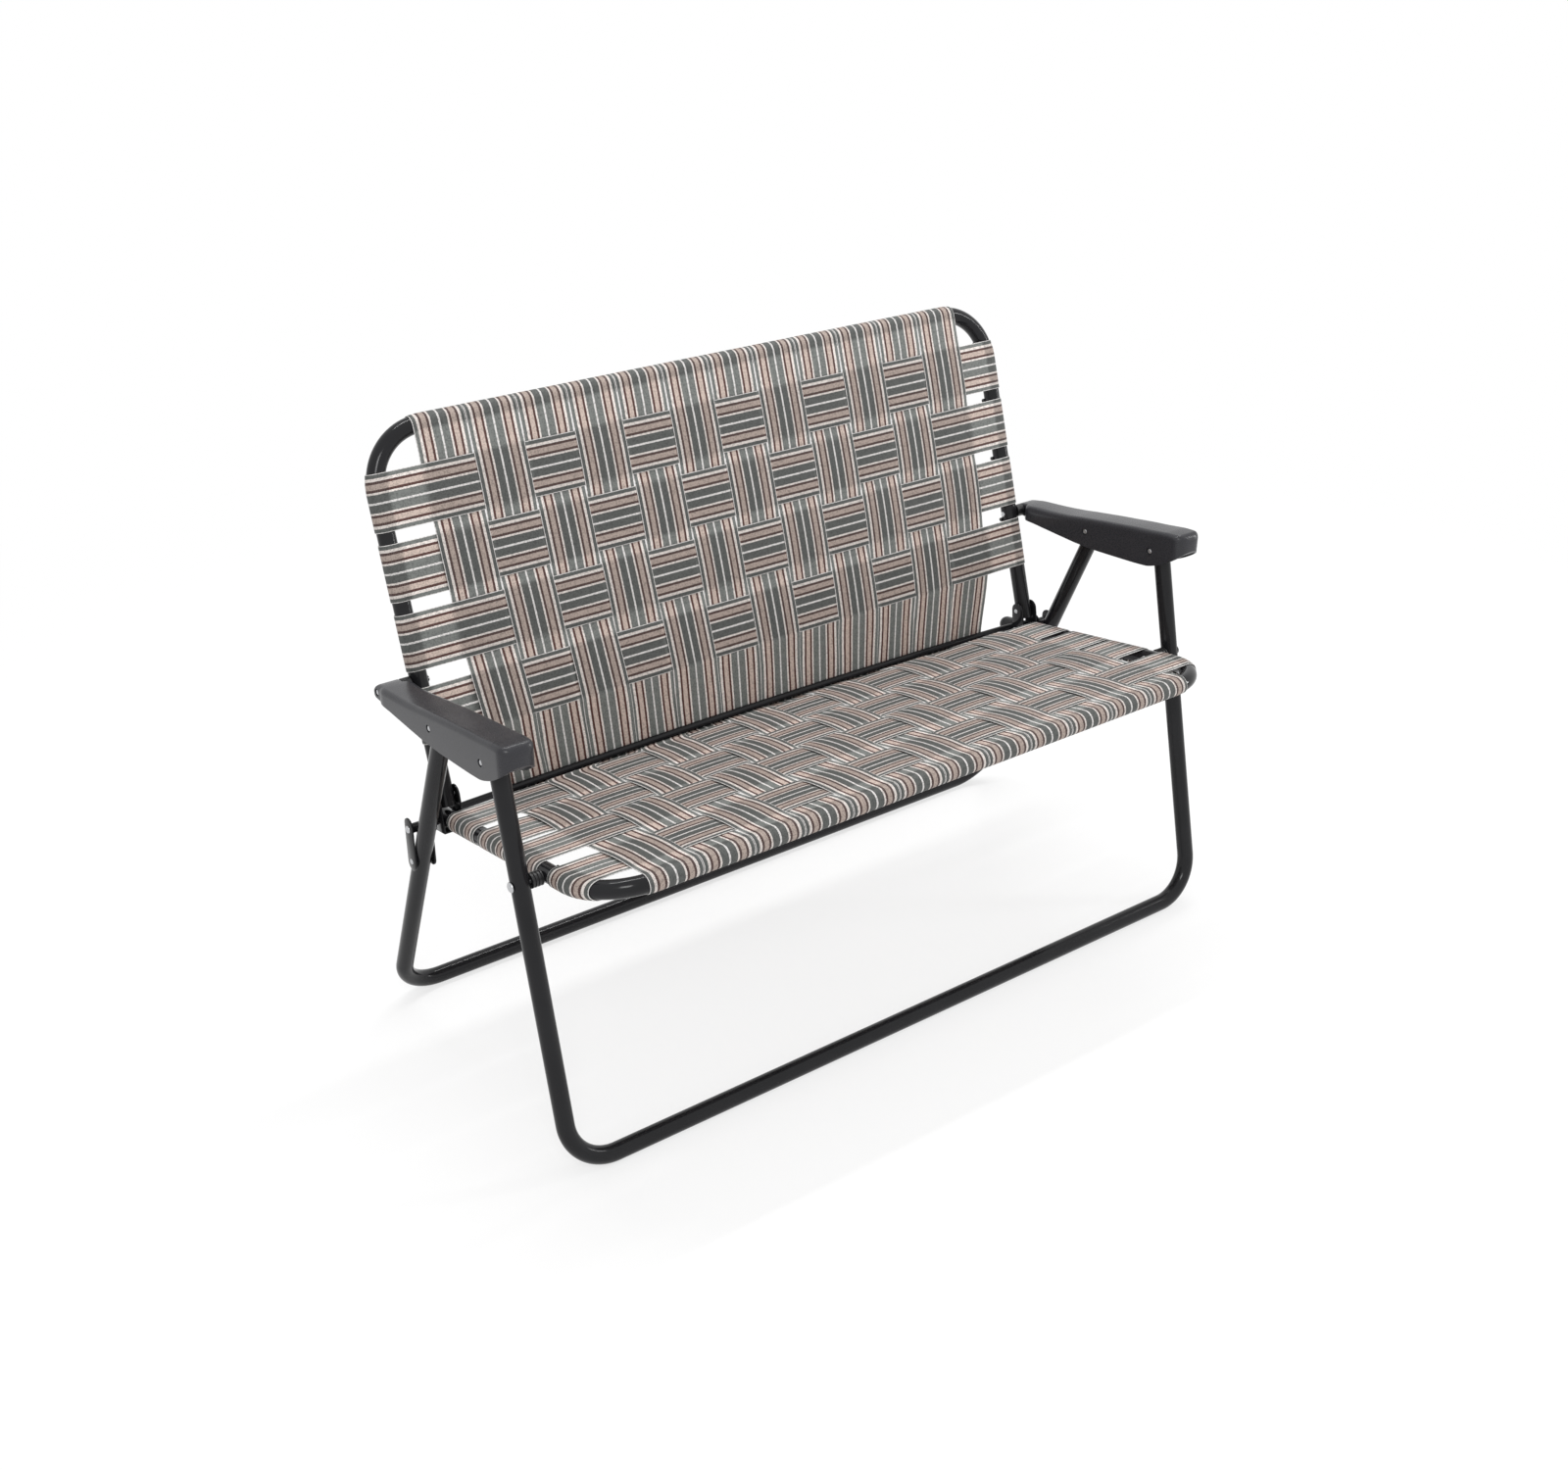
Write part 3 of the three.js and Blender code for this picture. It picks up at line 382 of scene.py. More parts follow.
def striped_webbing(name):
    # Woven polypropylene webbing: flat satin tapes in a twill, coloured in stripes along the strap.
    # Tapes about 1.3 mm wide cross each other, so the shade changes from one crossing to the next and
    # the thin rust lines look dashed. The weave is a little open and lets light through, most of all
    # in the grey stripes, so painted shade makes it darker where a strap or a tube lies behind it.
    material, tree, shader = start_material(name, {"IOR": 1.49, "Roughness": 0.62})
    flat = add(tree, "ShaderNodeUVMap", {"uv_map": "strap"}).outputs["UV"]
    across = add(tree, "ShaderNodeSeparateXYZ", inputs={"Vector": flat}).outputs["X"]
    wander = add(tree, "ShaderNodeTexNoise", {"noise_dimensions": "2D"},
                 {"Vector": flat, "Scale": 1 / (3 * MM), "Detail": 1.0}).outputs["Fac"]
    aside = maths(tree, "MULTIPLY_ADD", wander, 0.5 * MM, -0.25 * MM)
    off_middle = maths(tree, "ABSOLUTE", maths(tree, "ADD", across, aside))
    share = maths(tree, "DIVIDE", off_middle, STRIPE_HALF * MM)
    starts = [0.0] + [end / STRIPE_HALF for end, _ in STRIPES[:-1]]

    def stripes(colour_of):
        stops = [(start, colour_of(stripe)) for start, (_, stripe) in zip(starts, STRIPES)]
        return ramp(tree, share, stops, "CONSTANT")

    # The stripe colours, and darker copies of them as painted shade, mixed by the painted shade mask below
    lit = stripes(lambda stripe: tuple(getattr(colours(), stripe)))
    backed_painted_shade = stripes(lambda stripe: shaded(getattr(colours(), stripe), BACKED_PAINTED_SHADE[stripe]))
    dashed = stripes(lambda stripe: grey(1.0 if stripe == "rust" else 0.0))
    behind = add(tree, "ShaderNodeAttribute", {"attribute_name": "backing"}).outputs["Fac"]
    base = mixed(tree, behind, lit, backed_painted_shade)
    # Blender's wave has a period of 2 pi / 20 at scale 1
    picks = add(tree, "ShaderNodeTexWave", {"bands_direction": "Y"},
                {"Vector": flat, "Scale": 0.314 / (2.1 * MM), "Distortion": 1.2, "Detail": 1.0,
                 "Detail Scale": 2.0})
    lift = maths(tree, "MULTIPLY", maths(tree, "MULTIPLY", picks.outputs["Fac"], dashed), 0.15)
    lines = mixed(tree, lift, base, shaded(colours().tan, 0.7))
    crossing = add(tree, "ShaderNodeVectorMath", {"operation": "SNAP"},
                   {0: flat, 1: (1.3 * MM, 1.3 * MM, 1.0)})
    shade = add(tree, "ShaderNodeTexWhiteNoise", {"noise_dimensions": "2D"},
                {"Vector": crossing.outputs["Vector"]}).outputs["Value"]
    tone = ramp(tree, shade, [(0.0, grey(0.58)), (0.5, grey(0.92)), (1.0, grey(1.0))])
    tree.links.new(mixed(tree, 1.0, lines, tone, "MULTIPLY"), shader.inputs["Base Color"])
    relief(tree, shader, shade, 0.25, 0.2 * MM)
    return material


FINISHES = {"Powder coat": powder_coat, "Moulded plastic": moulded_plastic, "Black nylon": black_nylon,
            "Zinc plate": zinc_plate, "Striped webbing": striped_webbing}


def finish(name):
    return made_once(bpy.data.materials, name, FINISHES[name])


# Meshes

def put(name, data):
    """A new object in the scene."""
    item = bpy.data.objects.new(name, data)
    bpy.context.scene.collection.objects.link(item)
    return item


def smooth(mesh, angle):
    """Shades a mesh smooth but for edges sharper than the angle."""
    mesh.shade_smooth()
    mesh.set_sharp_from_angle(angle=math.radians(angle))


def show(name, mesh, material, angle=35.0):
    """Puts a mesh in the scene in one material."""
    mesh.materials.clear()
    mesh.materials.append(material)
    smooth(mesh, angle)
    return put(name, mesh)


def face_outwards(mesh, merge=False):
    """Turns a mesh's faces outwards, where asked with its doubles merged first."""
    shape = bmesh.new()
    shape.from_mesh(mesh)
    if merge:
        bmesh.ops.remove_doubles(shape, verts=shape.verts, dist=1e-7)
    bmesh.ops.recalc_face_normals(shape, faces=shape.faces)
    shape.to_mesh(mesh)
    shape.free()


def closed_mesh(name, points, faces):
    mesh = bpy.data.meshes.new(name)
    mesh.from_pydata(points, [], faces)
    face_outwards(mesh, merge=True)
    return mesh


def loft(rings):
    """Points and faces of rings joined in order, with a cap at each end."""
    count = len(rings[0])
    faces = []
    for i in range(len(rings) - 1):
        for j in range(count):
            k = (j + 1) % count
            faces.append((i * count + j, i * count + k, (i + 1) * count + k, (i + 1) * count + j))
    faces.append(tuple(range(count)))
    faces.append(tuple(range((len(rings) - 1) * count, len(rings) * count)))
    return [point for ring in rings for point in ring], faces


def join(parts):
    """Several (points, faces) shapes as one."""
    points, faces = [], []
    for more_points, more_faces in parts:
        faces += [tuple(i + len(points) for i in face) for face in more_faces]
        points += more_points
    return points, faces


def turned(profile, centre, side, count):
    """A shape turned on an axis along X: the profile holds (x, radius) pairs from end to end."""
    rings = []
    for x, radius in profile:
        rings.append([(side * x, centre[0] + radius * math.cos(2 * math.pi * i / count),
                       centre[1] + radius * math.sin(2 * math.pi * i / count)) for i in range(count)])
    return loft(rings)


def arc(centre, radius, start, end, steps):
    return [(centre[0] + radius * math.cos(start + (end - start) * i / steps),
             centre[1] + radius * math.sin(start + (end - start) * i / steps)) for i in range(steps + 1)]


def slab(outline, x0, x1):
    """A side view outline carried along X."""
    return loft([[(x, y, z) for y, z in outline] for x in (x0, x1)])


def cut(name, base, cutters):
    """The base shape with the cutter shapes taken out of it, as a mesh."""
    body = put(name, closed_mesh(name, *base))
    tools = [put(f"{name}_cutter", closed_mesh(f"{name}_cutter", *shape)) for shape in cutters]
    for tool in tools:
        modifier = body.modifiers.new("cut", "BOOLEAN")
        modifier.operation = "DIFFERENCE"
        modifier.solver = "EXACT"
        modifier.object = tool
    mesh = settled(body)
    for item in tools + [body]:
        bpy.data.objects.remove(item)
    return mesh


def settled(piece):
    """The piece with its modifiers, as a plain mesh."""
    bpy.context.view_layer.update()
    graph = bpy.context.evaluated_depsgraph_get()
    return bpy.data.meshes.new_from_object(piece.evaluated_get(graph), preserve_all_data_layers=True,
                                           depsgraph=graph)


def apply_modifiers(piece, angle):
    """Makes a piece the plain mesh that its modifiers give."""
    mesh = settled(piece)
    piece.modifiers.clear()
    piece.data = mesh
    smooth(mesh, angle)
    return piece


def bevelled(mesh, name, width, material):
    """Puts a mesh in the scene with its sharp edges rounded."""
    piece = show(name, mesh, material)
    modifier = piece.modifiers.new("edges", "BEVEL")
    modifier.width = width
    modifier.segments = 2
    modifier.limit_method = "ANGLE"
    modifier.angle_limit = math.radians(40)
    return apply_modifiers(piece, 50)


# Geometry Nodes

def start_tree(name, lengths):
    """A node group with a geometry input and output, the named lengths, a number of sides and a material."""
    tree = bpy.data.node_groups.new(name, "GeometryNodeTree")
    kinds = [("Geometry", "Geometry")] + [(length, "Float") for length in lengths]
    for socket_name, kind in kinds + [("Sides", "Int"), ("Material", "Material")]:
        tree.interface.new_socket(socket_name, in_out="INPUT", socket_type=f"NodeSocket{kind}")
    tree.interface.new_socket("Geometry", in_out="OUTPUT", socket_type="NodeSocketGeometry")
    return tree, tree.nodes.new("NodeGroupInput").outputs


def end_tree(tree, geometry, material):
    real = add(tree, "GeometryNodeRealizeInstances", inputs={"Geometry": geometry}).outputs["Geometry"]
    painted = add(tree, "GeometryNodeSetMaterial", inputs={"Geometry": real, "Material": material})
    add(tree, "NodeGroupOutput", inputs={"Geometry": painted.outputs["Geometry"]})
    return tree


def tube_along_lines(tree, given, radius):
    """The mesh's lines as curves, and a closed round tube along them."""
    line = add(tree, "GeometryNodeMeshToCurve", inputs={"Mesh": given["Geometry"]}).outputs["Curve"]
    ring = add(tree, "GeometryNodeCurvePrimitiveCircle",
               inputs={"Resolution": given["Sides"], "Radius": radius}).outputs["Curve"]
    tube = add(tree, "GeometryNodeCurveToMesh",
               inputs={"Curve": line, "Profile Curve": ring, "Fill Caps": True})
    return line, tube.outputs["Mesh"]


def bent_tube_tree(name):
    """A round tube along each line of the mesh."""
    tree, given = start_tree(name, ["Radius"])
    return end_tree(tree, tube_along_lines(tree, given, given["Radius"])[1], given["Material"])


def headed_pin_tree(name):
    """A shank along each edge of the mesh with a domed head at each end."""
    heads = [f"{end} Head {measure}" for end in ("Start", "End") for measure in ("Radius", "Height")]
    tree, given = start_tree(name, ["Shank Radius"] + heads)
    line, shank = tube_along_lines(tree, given, given["Shank Radius"])
    ball = add(tree, "GeometryNodeMeshUVSphere",
               inputs={"Segments": given["Sides"], "Rings": 16, "Radius": 1.0})
    position = add(tree, "GeometryNodeInputPosition").outputs["Position"]
    place = add(tree, "ShaderNodeSeparateXYZ", inputs={"Vector": position})
    below = add(tree, "FunctionNodeCompare", {"operation": "LESS_THAN"}, {0: place.outputs["Z"], 1: -0.01})
    half = add(tree, "GeometryNodeDeleteGeometry", {"domain": "POINT"},
               {"Geometry": ball.outputs["Mesh"], "Selection": below.outputs["Result"]})
    dome = add(tree, "GeometryNodeConvexHull", inputs={"Geometry": half.outputs["Geometry"]})
    tangent = add(tree, "GeometryNodeInputTangent").outputs["Tangent"]
    back = add(tree, "ShaderNodeVectorMath", {"operation": "SCALE"}, {0: tangent, "Scale": -1.0}).outputs[0]
    joined = add(tree, "GeometryNodeJoinGeometry")
    tree.links.new(shank, joined.inputs["Geometry"])
    for end, way, sizes_there in (("Start", back, (1, 0)), ("End", tangent, (0, 1))):
        chosen = add(tree, "GeometryNodeCurveEndpointSelection", inputs=dict(enumerate(sizes_there)))
        turn = add(tree, "FunctionNodeAlignRotationToVector", {"axis": "Z"}, {"Vector": way})
        radius, height = given[f"{end} Head Radius"], given[f"{end} Head Height"]
        size = add(tree, "ShaderNodeCombineXYZ", inputs={"X": radius, "Y": radius, "Z": height})
        head = add(tree, "GeometryNodeInstanceOnPoints", inputs={
            "Points": line, "Selection": chosen.outputs["Selection"], "Instance": dome.outputs["Convex Hull"],
            "Rotation": turn.outputs["Rotation"], "Scale": size.outputs["Vector"]})
        tree.links.new(head.outputs["Instances"], joined.inputs["Geometry"])
    return end_tree(tree, joined.outputs["Geometry"], given["Material"])


def grown(name, points, edges, tree, values):
    """A plain mesh piece that a node tree makes from points and edges."""
    mesh = bpy.data.meshes.new(name)
    mesh.from_pydata(points, edges, [])
    piece = put(name, mesh)
    modifier = piece.modifiers.new(tree.name, "NODES")
    modifier.node_group = tree
    sockets = {item.name: item.identifier for item in tree.interface.items_tree
               if item.item_type == "SOCKET" and item.in_out == "INPUT"}
    for socket_name, value in values.items():
        modifier[sockets[socket_name]] = value
    apply_modifiers(piece, 40)
    if not piece.data.polygons:
        raise RuntimeError(f"{name} came out empty")
    return piece


def settle_on(piece, body, slot, *nodes):
    """The piece rides on a body and stands for CAD nodes; the finish slot is not used."""
    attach(piece, body)
    if nodes:
        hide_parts(*nodes)
    return piece


# Tube frames

def u_line(open_end, closed_end, half_width, bend, steps=24):
    """Centre line of a tube bent to a U, its open ends at one side view place and its bar at the other."""
    way = unit(minus(closed_end, open_end))
    straight = math.hypot(*minus(closed_end, open_end)) - bend
    half = [(-half_width, 0.0)]
    for i in range(steps + 1):
        turn = math.pi / 2 * i / steps
        half.append((-half_width + bend * (1 - math.cos(turn)), straight + bend * math.sin(turn)))
    line = half + [(-x, along) for x, along in half[::-1]]
    return [(x, *plus(open_end, way, along)) for x, along in line]


def make_tube(name, line, radius, body, *nodes):
    edges = [(i, i + 1) for i in range(len(line) - 1)]
    tree = made_once(bpy.data.node_groups, "Bent Tube", bent_tube_tree)
    piece = grown(name, line, edges, tree, {"Radius": radius, "Sides": 40, "Material": finish("Powder coat")})
    return settle_on(piece, body, "frame", *nodes)


def make_nylon(name, shapes, body, slot, *nodes):
    piece = show(name, closed_mesh(name, *join(shapes)), finish("Black nylon"))
    return settle_on(piece, body, slot, *nodes)


def turned_on_both_sides(profile, centres, count):
    """Shapes turned to one profile, at these side view places on both sides of the bench."""
    return [turned(profile, centre, side, count) for centre in centres for side in (1, -1)]


class BENCH_OT_leg_frames(bpy.types.Operator):
    """Makes the front and rear leg frames, each one bent tube"""
    bl_idname = "bench.leg_frames"
    bl_label = "Leg frames"

    def execute(self, context):
        radius = sizes().tube_diameter / 2
        front_top = plus(ARM_FRONT_PIVOT, FRONT_LEG_UP, LEG_TAIL)
        make_tube("front_leg_tube", u_line(front_top, FRONT_FOOT, LEG_HALF_WIDTH, LEG_BEND), radius,
                  "front_leg", "front_leg_frame")
        rear_top = plus(ARM_REAR_PIVOT, REAR_LEG_DOWN, -REAR_LEG_TAIL)
        rear_length = (ARM_REAR_PIVOT[1] - FOOT_HEIGHT) / math.cos(REAR_LEG_LEAN)
        rear_foot = plus(ARM_REAR_PIVOT, REAR_LEG_DOWN, rear_length)
        make_tube("rear_leg_tube", u_line(rear_top, rear_foot, LEG_HALF_WIDTH, LEG_BEND), radius,
                  "rear_leg", "rear_leg_frame")
        return {"FINISHED"}


class BENCH_OT_panel_frames(bpy.types.Operator):
    """Makes the seat and back frames and the plugs in the rails' rear ends"""
    bl_idname = "bench.panel_frames"
    bl_label = "Seat and back frames"

    def execute(self, context):
        radius = sizes().tube_diameter / 2
        upright_end = plus(HINGE, BACK_UP, -UPRIGHT_TAIL)
        line = u_line(upright_end, TOP_BAR, PANEL_HALF_WIDTH, PANEL_BEND)
        make_tube("back_tube", line, radius, "back", "back_frame")
        rail_end = plus(CREASE, RAIL_BACK, RAIL_TAIL)
        line = u_line(rail_end, FRONT_BAR, PANEL_HALF_WIDTH, PANEL_BEND)
        make_tube("seat_tube", line, radius, "seat", "seat_frame")
        gap, steps, count = 0.3 * MM, 8, 32
        turns = [2 * math.pi * j / count for j in range(count)]
        plugs = []
        for side in (-1, 1):
            rings = []
            for i in range(steps + 1):
                rise = min(i / steps, 0.985) * math.pi / 2
                reach = (radius - gap) * math.cos(rise) ** 0.7
                place = plus(rail_end, RAIL_BACK, RAIL_CAP * math.sin(rise))
                rings.append([(side * PANEL_HALF_WIDTH + reach * math.cos(turn),
                               *plus(place, RAIL_UP, reach * math.sin(turn))) for turn in turns])
            plugs.append(loft(rings))
        make_nylon("rail_plugs", plugs, "seat", "frame")
        return {"FINISHED"}


def crease_centre(x):
    """Side view place of the crease rod's centre, bowed by the straps' pull."""
    share = min(1.0, abs(x) / PANEL_INNER)
    return plus(rail_place(ROD_SETBACK, ROD_RISE), BOW_WAY, sizes().crease_rod_bow * (1 - share * share))


class BENCH_OT_crease_rod(bpy.types.Operator):
    """Makes the rod between the rails that holds the straps down at the crease"""
    bl_idname = "bench.crease_rod"
    bl_label = "Crease rod"

    def execute(self, context):
        places = [-PANEL_HALF_WIDTH] + [PANEL_INNER * (i / 24 - 1) for i in range(49)] + [PANEL_HALF_WIDTH]
        line = [(x, *crease_centre(x)) for x in places]
        make_tube("crease_rod", line, sizes().crease_rod_diameter / 2, "seat", "crease_bar")
        return {"FINISHED"}


# Brackets and links

class BENCH_OT_hinge_brackets(bpy.types.Operator):
    """Makes the bent strap brackets that hold the uprights on the rails"""
    bl_idname = "bench.hinge_brackets"
    bl_label = "Hinge brackets"

    def execute(self, context):
        sheet, rear, front, radius = 2.5 * MM, 5.5 * MM, 18 * MM, 10.8 * MM
        inner, outer = RAIL_SIDES
        # The strap's lower face: a small gap and the sheet under the rail's faceted tube
        under = -(11.317 * MM + 0.3 * MM + sheet)
        top = (radius - front, dot(minus(HINGE, CREASE), RAIL_UP) + 1 * MM)
        outline = [(rear, under), (rear, 6 * MM)] + arc(top, radius, 0, math.pi, 24) + [(-front, under)]
        # Open between the cheeks, over the strap
        far, high = 30 * MM, 60 * MM
        space = [(far, under + sheet), (far, high), (-far, high), (-far, under + sheet)]
        outline, space = ([rail_place(*place) for place in shape] for shape in (outline, space))
        for name, side in (("right", 1), ("left", -1)):
            base = slab(outline, side * (inner - sheet), side * (outer + sheet))
            mesh = cut(f"bracket_{name}", base, [slab(space, side * inner, side * outer)])
            piece = bevelled(mesh, f"bracket_{name}", 0.7 * MM, finish("Powder coat"))
            settle_on(piece, "seat", "frame", f"hinge_bracket_{name}")
        return {"FINISHED"}


class BENCH_OT_link_plates(bpy.types.Operator):
    """Makes the two link plates on each side that tie the hinge to the rear leg"""
    bl_idname = "bench.link_plates"
    bl_label = "Link plates"

    def execute(self, context):
        way = unit(minus(LINK_PIVOT, CREASE))
        angle, quarter, radius = math.atan2(way[1], way[0]), math.pi / 2, 10 * MM
        outline = arc(plus(CREASE, way, -4.5 * MM), radius, angle + quarter, angle + 3 * quarter, 20)
        outline += arc(plus(LINK_PIVOT, way, 2.5 * MM), radius, angle - quarter, angle + quarter, 20)
        for layer, x0, x1 in (("inner", LINK_SIDES[0], LEG_SIDES[0]), ("outer", LEG_SIDES[1], LINK_SIDES[1])):
            shape = join([slab(outline, side * x0, side * x1) for side in (-1, 1)])
            name = f"link_plates_{layer}"
            piece = bevelled(closed_mesh(name, *shape), name, 0.6 * MM, finish("Powder coat"))
            settle_on(piece, "links", "frame", f"link_{layer}_right", f"link_{layer}_left")
        return {"FINISHED"}


# Fasteners

# Heads of pins as (radius, height); the hidden ones lie inside other pieces
HIDDEN = (2.9 * MM, 0.5 * MM)
BUTTON = (3.2 * MM, 1.3 * MM)
SMALL = (3.6 * MM, 1.4 * MM)
RIVET = (5 * MM, 1.7 * MM)
AXLE_END = 522.22 * MM
STUB_END = AXLE_END - 2.9 * MM
# The arm rivets' heads start here, in recesses of the arm's walls
ARM_HEADS = (486.1 * MM, 526.4 * MM)


def make_pins(name, centre, places, shank, heads, body, node=None, slot="rivet", look="Zinc plate"):
    """A pin on each side of the bench, between two places along X, with a head at each of them."""
    points = [(side * x, *centre) for side in (1, -1) for x in places]
    values = {"Shank Radius": shank, "Sides": 32, "Material": finish(look)}
    for end, (radius, height) in zip(("Start", "End"), heads):
        values[f"{end} Head Radius"], values[f"{end} Head Height"] = radius, height
    tree = made_once(bpy.data.node_groups, "Headed Pins", headed_pin_tree)
    piece = grown(name, points, [(0, 1), (2, 3)], tree, values)
    return settle_on(piece, body, slot, *((f"{node}_right", f"{node}_left") if node else ()))


class BENCH_OT_fasteners(bpy.types.Operator):
    """Makes the pins, bolts and rivets at every pivot"""
    bl_idname = "bench.fasteners"
    bl_label = "Fasteners"

    def execute(self, context):
        bolt = (sizes().head_radius, sizes().head_height)
        thick, thin = 3 * MM, 2.6 * MM
        make_pins("hinge_pins", HINGE, CHEEK_SIDES, thick, (BUTTON, RIVET), "seat", "hinge_pin")
        make_pins("seat_bolts", SEAT_PIVOT, (RAIL_SIDES[0], LEG_SIDES[1]), thick, (bolt, bolt), "seat",
                  "seat_bolt", "frame")
        make_pins("axle_stubs", CREASE, (CHEEK_SIDES[1], STUB_END), 6 * MM, (HIDDEN, HIDDEN),
                  "seat", "link_axle", "frame", "Powder coat")
        make_pins("axle_ends", CREASE, (CHEEK_SIDES[0], 486 * MM), thick, ((3.6 * MM, 1.8 * MM), HIDDEN),
                  "seat")
        make_pins("axle_heads", CREASE, (500 * MM, AXLE_END), thick, (HIDDEN, (4.8 * MM, 2.6 * MM)), "seat")
        for side, start, end in (("outer", 519 * MM, LINK_SIDES[1]), ("inner", 497 * MM, LINK_SIDES[0])):
            make_pins(f"link_rivets_{side}", LINK_PIVOT, (start, end), thick, (HIDDEN, SMALL), "links")
        make_pins("arm_bolts", ARM_BACK_PIVOT, (RAIL_SIDES[0], 523.4 * MM), thin,
                  ((3.8 * MM, 1.5 * MM), SMALL), "back", "arm_bolt")
        make_pins("arm_rivets", ARM_REAR_PIVOT, ARM_HEADS, thin, (SMALL, SMALL), "arms", "arm_rivet")
        for side, start, end in (("outer", ARM_HEADS[1] - 1 * MM, ARM_HEADS[1]),
                                 ("inner", ARM_HEADS[0] + 1 * MM, ARM_HEADS[0])):
            make_pins(f"arm_front_rivets_{side}", ARM_FRONT_PIVOT, (start, end), thin, (HIDDEN, SMALL),
                      "arms")
        return {"FINISHED"}


class BENCH_OT_spacers(bpy.types.Operator):
    """Makes the ribbed seat spacers and the plain arm spacers"""
    bl_idname = "bench.spacers"
    bl_label = "Spacers"

    def execute(self, context):
        start, end = RAIL_SIDES[1], LEG_SIDES[0]
        ribs, bore, groove, rib, round_off = 4, 4 * MM, 8 * MM, 9.2 * MM, 0.5 * MM
        ease, slope = 0.3 * MM, 0.05 * MM
        width = (end - start) / (2 * ribs - 1)
        profile = [(start, bore)]
        for i in range(ribs):
            x0 = start + 2 * width * i
            x1 = x0 + width
            profile += [(x0, rib - round_off), (x0 + ease, rib), (x1 - ease, rib), (x1, rib - round_off)]
            if i < ribs - 1:
                profile += [(x1 + slope, groove), (x1 + width - slope, groove)]
        profile.append((end, bore))
        shapes = turned_on_both_sides(profile, [SEAT_PIVOT], 40)
        make_nylon("seat_spacers", shapes, "seat", "spacer", "seat_spacer_right", "seat_spacer_left")
        x0, x1, bore, radius = RAIL_SIDES[1], 493.8 * MM, 3.5 * MM, 8.6 * MM
        profile = [(x0, bore), (x0, radius - round_off), (x0 + round_off, radius), (x1 - round_off, radius),
                   (x1, radius - round_off), (x1, bore)]
        shapes = turned_on_both_sides(profile, [ARM_BACK_PIVOT], 40)
        make_nylon("arm_spacers", shapes, "back", "spacer", "arm_spacer_right", "arm_spacer_left")
        return {"FINISHED"}


# Arm rests

ARM_REAR_END = ARM_BACK_PIVOT[0] + 7.5 * MM
ARM_LENGTH = ARM_REAR_END - ARM_FRONT_PIVOT[0] + 53 * MM
ARM_DEPTH = 50 * MM
ARM_CORNER_RADIUS = 15 * MM
# From the leg's middle to the arm's inner and outer side, at full width and at its neck by the upright
ARM_INNER, ARM_OUTER = 23.5 * MM, 20 * MM
NECK_INNER, NECK_OUTER = 8 * MM, 17 * MM
RECESS_DEPTH = 1.8 * MM
# Shares of the arm's length, and there its under and upper side off the line through its pivots, as shares of
# its depth, and how far it has opened from the neck to its full width
ARM_ALONG = [0, 0.0033, 0.0104, 0.024, 0.0476, 0.0692, 0.0944, 0.1447, 0.195, 0.2453, 0.2956, 0.346, 0.3963,
             0.4466, 0.4969, 0.5472, 0.6478, 0.7355, 0.8195, 0.8755, 0.9222, 0.9689, 0.9844, 0.9954, 1]
ARM_UNDER = [0.06, 0.105, 0.14, 0.155, 0.172, 0.188, 0.205, 0.232, 0.268, 0.302, 0.337, 0.37, 0.403, 0.423,
             0.44, 0.45, 0.45, 0.447, 0.43, 0.345, 0.225, 0.055, -0.02, -0.1, -0.14]
ARM_TOP = [0.07, 0.13, 0.16, 0.178, 0.2, 0.208, 0.214, 0.227, 0.239, 0.257, 0.281, 0.309, 0.346, 0.378, 0.41,
           0.442, 0.496, 0.545, 0.58, 0.61, 0.632, 0.63, 0.59, 0.51, 0.4]
ARM_WIDTH = [0, 0, 0, 0, 0, 0.75, 1, 1, 1, 1, 1, 1, 1, 1, 1, 1, 1, 1, 1, 1, 1, 1, 0.97, 0.88, 0.74]


def eased(places, values, at):
    """A smooth curve through a table that never overshoots it."""
    last = len(places) - 2
    i = next((j for j in range(last) if places[j + 1] >= at), last)
    slopes = [(values[j + 1] - values[j]) / (places[j + 1] - places[j]) for j in range(last + 1)]

    def slope_at(j):
        if j == 0 or j > last:
            return slopes[min(j, last)]
        before, after = slopes[j - 1], slopes[j]
        return 0.0 if before * after <= 0 else 2 * before * after / (before + after)

    step = places[i + 1] - places[i]
    t = clamped((at - places[i]) / step)
    return ((2 * t ** 3 - 3 * t ** 2 + 1) * values[i] + (t ** 3 - 2 * t ** 2 + t) * step * slope_at(i)
            + (3 * t ** 2 - 2 * t ** 3) * values[i + 1] + (t ** 3 - t ** 2) * step * slope_at(i + 1))


